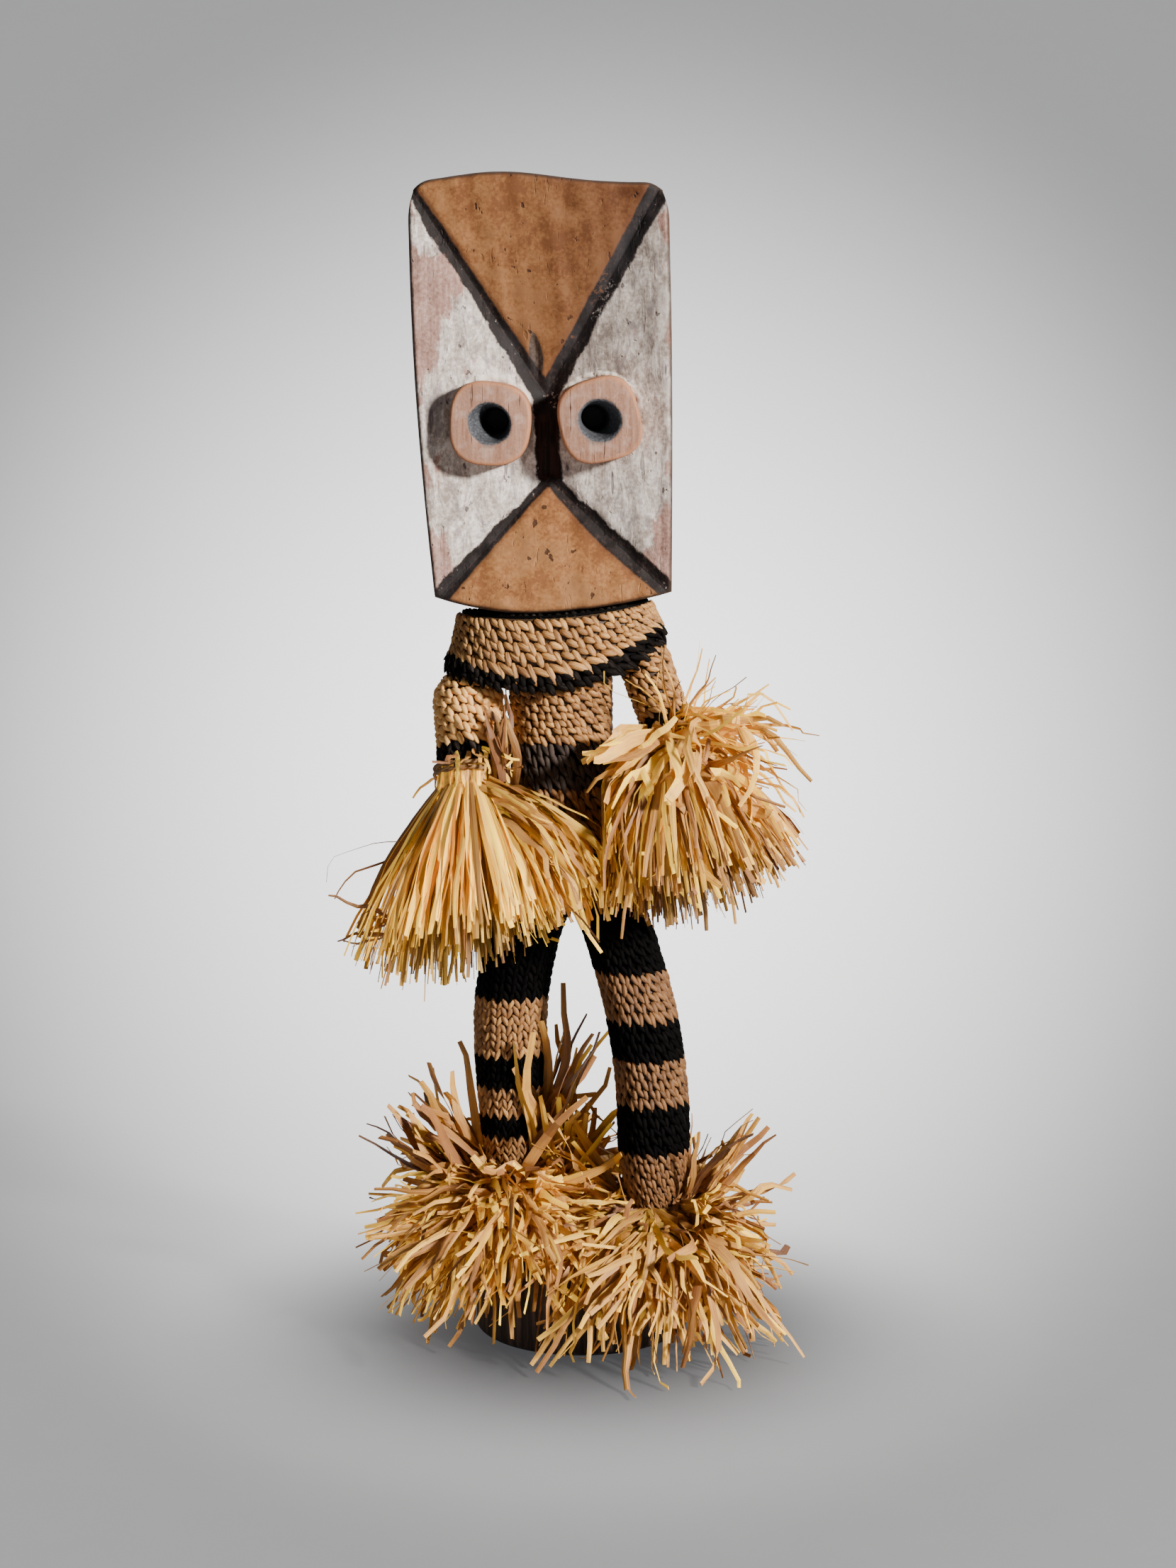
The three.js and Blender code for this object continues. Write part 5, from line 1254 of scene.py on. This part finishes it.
def make_head():
    """Rows of points round the block from chin to top: face, left side, back, right side."""
    across, up, side_steps = 112, 190, 8
    share = np.linspace(-1, 1, across + 1)
    share = np.sign(share) * (1 - (1 - np.abs(share)) ** 1.12)
    fade = np.linspace(0, 1, side_steps + 2)[1:-1, None]
    return_fade = np.linspace(1, 0, side_steps + 2)[1:-1, None]
    plain = np.repeat(np.array([list(BACK_FACTS.values())]), across + 1, axis=0)
    rows, info = [], []
    for r in np.linspace(0, 1, up + 1):
        u = share * half_width(share, ROWS_FROM + r * ROWS_TALL)
        w = bottom_line(u) + (top_line(u) - bottom_line(u)) * r
        depth, inset = face_depth(u, w)
        front = np.stack([u, FACE_Y + depth, w], axis=-1)
        best, _, nose = paint_lines(u, w)
        # Painted shade on the upper wood field, deeper towards the figure's left
        brow_shade = np.clip((w - 80.0) / 8.0, 0, 1) * (0.62 + 0.38 * np.clip(u / 40.0, -1, 1))
        # Painted shade on the figure's left cheek, growing with height
        dim = 0.8 * np.clip(u / 10.0, 0, 1) * np.clip(0.3 + (w - 60.0) / 90.0, 0.1, 1)
        facts = np.stack([best, cheek_field(u, w), inset, 0 * u, worn_field(u, w), nose, brow_shade, dim,
                          gouge_field(u, w), ridge_field(u, w)], axis=-1)
        swell = np.sqrt(np.clip(1 - (np.abs(share) * 0.985) ** 2.4, 0, 1))
        back_y = FACE_Y + SIDE_DEPTH + (HEAD_DEPTH - SIDE_DEPTH) * swell + lumps(u, w, 9, 20.0, 0.9)
        edge_in = np.clip(np.minimum(top_line(u) - w, w - bottom_line(u)) / 5.0, 0, 1)
        back_y = back_y - 4.0 * (1 - edge_in) ** 2
        back = np.stack([u, back_y, w], axis=-1)[::-1]
        there = front[-1:] + (back[:1] - front[-1:]) * fade
        again = front[:1] + (back[-1:] - front[:1]) * return_fade
        rows.append(np.concatenate([front, there, back, again]))
        there_facts = facts[-1:] * (1 - fade) + plain[:1] * fade
        again_facts = plain[-1:] * (1 - fade) + facts[:1] * fade
        info.append(np.concatenate([facts, there_facts, plain, again_facts]))
    loop = len(rows[0])
    faces = ring_faces(up + 1, loop)
    back = list(range(across + side_steps + 1, 2 * across + side_steps + 2))[::-1]
    caps = [[i, i + 1, back[i + 1], back[i]] for i in range(across)]
    caps.append(list(range(across, across + side_steps + 2)))
    caps.append([*range(loop - side_steps - 1, loop), 0])
    for base, order in ((0, -1), (up * loop, 1)):
        faces.extend([base + k for k in cap][::order] for cap in caps)
    obj = mesh_object("carved_head", moved(np.concatenate(rows), HEAD_TURN) * MM, faces)
    facts = np.concatenate(info)
    for i, name in enumerate(BACK_FACTS):
        give_number(obj, name, facts[:, i])
    return dress(obj, "head", "face_wood", PAINT, "head_block")


make_head()


def make_eye(at, inward, squareness, twist, name, node, seed):
    """A tube cut with a knife: four soft flats, rounded lips and a bored hole that leans to the nose."""
    clear_selection()
    bpy.ops.mesh.primitive_cylinder_add(vertices=72, radius=EYE_TALL, depth=EYE_FRONT + EYE_SINK)
    tube = bpy.context.object
    edit_faces(tube, lambda face: face.normal.z > 0.9)
    bpy.ops.mesh.inset(thickness=EYE_TALL - EYE_HOLE - EYE_LIP)
    bpy.ops.mesh.inset(thickness=EYE_LIP)
    for step in range(4):
        bpy.ops.mesh.extrude_region_move(TRANSFORM_OT_translate={"value": (0, 0, -EYE_BORE / 4)})
    done_editing()
    bevel(tube, 3.0, 5)
    points = points_of(tube)
    points[:, 2] += EYE_FRONT - points[:, 2].max()
    angle = np.arctan2(points[:, 1], points[:, 0])
    reach = np.hypot(points[:, 0], points[:, 1])
    outside = np.clip((reach - EYE_HOLE) / (EYE_TALL - EYE_HOLE), 0, 1)
    depth = np.clip(EYE_FRONT - points[:, 2], 0, 40)
    inner = reach < EYE_HOLE + 0.9
    rng = np.random.default_rng(seed)
    flats = np.abs(np.cos(angle + twist)) ** squareness + np.abs(np.sin(angle + twist)) ** squareness
    sides = 1.01 * flats ** (-1 / squareness) - 1 + 0.014 * np.cos(3 * angle + rng.uniform(0, TAU))
    flare = 1 + (sides + 0.03 * np.clip(depth / 14.0, 0, 1)) * outside
    flare = flare + 0.03 * np.cos(2 * angle + 1.0) * (1 - outside)
    points[:, 0] *= flare * (1 - (1 - EYE_WIDE / EYE_TALL) * outside)
    points[:, 1] *= flare
    lean = np.where(inner, depth, 0)
    points[:, :2] *= (1 - 0.46 * lean / EYE_BORE)[:, None]
    points[:, 0] += inward * 0.19 * lean
    points[:, 1] += 0.09 * lean
    points[:, 2] += 0.45 * np.cos(angle + rng.uniform(0, TAU)) * outside * (points[:, 2] > 0)
    local = np.stack([at[0] + points[:, 0], FACE_Y - points[:, 2], at[1] + points[:, 1]], axis=-1)
    set_points(tube, moved(local, HEAD_TURN) * MM)
    tube.name = name
    give_number(tube, "hole", np.where(inner, depth, -3.0 * outside))
    give_number(tube, "lip", outside)
    smooth_flats(tube)
    return dress(tube, "head", "eye_wood", EYE_WOOD, node)


make_eye(EYES[0], 1, 2.7, 0.12, "right_eye_carving", "right_eye_tube", 4)
make_eye(EYES[1], -1, 3.0, -0.22, "left_eye_carving", "left_eye_tube", 8)


# Base drum

def make_drum():
    clear_selection()
    bpy.ops.mesh.primitive_cylinder_add(vertices=96, radius=BASE_RADIUS, depth=BASE_HEIGHT)
    drum = bpy.context.object
    drum.name = "drum_base"
    bevel(drum, 3.0, 4)
    edit_faces(drum, lambda face: abs(face.normal.z) < 0.2)
    bpy.ops.mesh.subdivide(number_cuts=7)
    done_editing()
    points = points_of(drum)
    points[:, 2] += BASE_HEIGHT / 2
    angle = np.arctan2(points[:, 1], points[:, 0])
    reach = np.hypot(points[:, 0], points[:, 1])
    cut = 0.5 * np.cos(5 * angle + 0.4) + 0.35 * np.cos(11 * angle + points[:, 2] * 0.05)
    side = np.clip(points[:, 2] / 6.0, 0, 1)
    grow = 1 + (cut * side - 0.5) / BASE_RADIUS * (reach > BASE_RADIUS * 0.8)
    points[:, 0] *= grow
    points[:, 1] *= grow
    set_points(drum, points * MM)
    smooth_flats(drum)
    return dress(drum, "figure", "dark_base_wood", DRUM_WOOD, "base_block")


make_drum()

for node in ("torso_core", "neck_peg", "right_leg_post", "left_leg_post"):
    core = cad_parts[node]
    core.data.materials.clear()
    core.data.materials.append(INNER_WOOD)


# Stage

SWEEP_HALF, SWEEP_NEAR, SWEEP_FAR, SWEEP_BEND, SWEEP_TOP = 9.0, -4.0, 1.6, 4.0, 8.0
SWEEP_STEPS, SWEEP_DROP = 16, 0.0005
FOCAL_PIXELS, PHOTO_PIXELS = 3946, 2212
SENSOR = 36.0
CAMERA_PLACE, CAMERA_DIP = (0.00324, -1.296, 0.448), 8.2


def make_sweep():
    """A floor that curves up into a wall far behind the figure."""
    profile = [(SWEEP_NEAR, 0.0), (SWEEP_FAR, 0.0)]
    for i in range(1, SWEEP_STEPS + 1):
        angle = math.pi / 2 * i / SWEEP_STEPS
        profile.append((SWEEP_FAR + SWEEP_BEND * math.sin(angle), SWEEP_BEND * (1 - math.cos(angle))))
    profile.append((SWEEP_FAR + SWEEP_BEND, SWEEP_TOP))
    points = [(x, y, z - SWEEP_DROP) for y, z in profile for x in (-SWEEP_HALF, SWEEP_HALF)]
    faces = [[2 * i, 2 * i + 1, 2 * i + 3, 2 * i + 2] for i in range(len(profile) - 1)]
    sweep = mesh_object("pale_sweep", points, faces)
    sweep.data.materials.append(floor_look())


make_sweep()


def lamp(name, place, aim, power, size, colour=(1, 1, 1)):
    data = bpy.data.lights.new(name, "AREA")
    data.energy, data.size, data.color = power, size, colour
    obj = bpy.data.objects.new(name, data)
    obj.location = place
    obj.rotation_euler = (Vector(aim) - Vector(place)).to_track_quat("-Z", "Y").to_euler()
    bpy.context.scene.collection.objects.link(obj)


lamp("key", (1.4, -1.2, 1.02), (0, 0, 0.33), 100.0, 0.22, (1.0, 0.96, 0.91))
lamp("fill", (-1.4, -1.6, 0.7), (0, 0, 0.28), 0.8, 1.4)
lamp("top", (0.1, 0.4, 2.0), (0, 0, 0.2), 5.0, 1.4)
lamp("wall", (0.0, 2.4, 2.2), (0, 3.4, 0.0), 70.0, 1.8)

world = bpy.data.worlds.new("studio")
bpy.context.scene.world = world
world.use_nodes = True
sky = world.node_tree.nodes["Background"]
sky.inputs["Color"].default_value = (0.86, 0.87, 0.88, 1)
sky.inputs["Strength"].default_value = 0.07

camera_data = bpy.data.cameras.new("camera")
camera = bpy.data.objects.new("camera", camera_data)
bpy.context.scene.collection.objects.link(camera)
camera_data.sensor_fit = "VERTICAL"
camera_data.sensor_height = SENSOR
camera_data.lens = FOCAL_PIXELS / PHOTO_PIXELS * SENSOR
camera.location = CAMERA_PLACE
camera.rotation_euler = (math.radians(90 - CAMERA_DIP), 0, 0)
bpy.context.scene.camera = camera
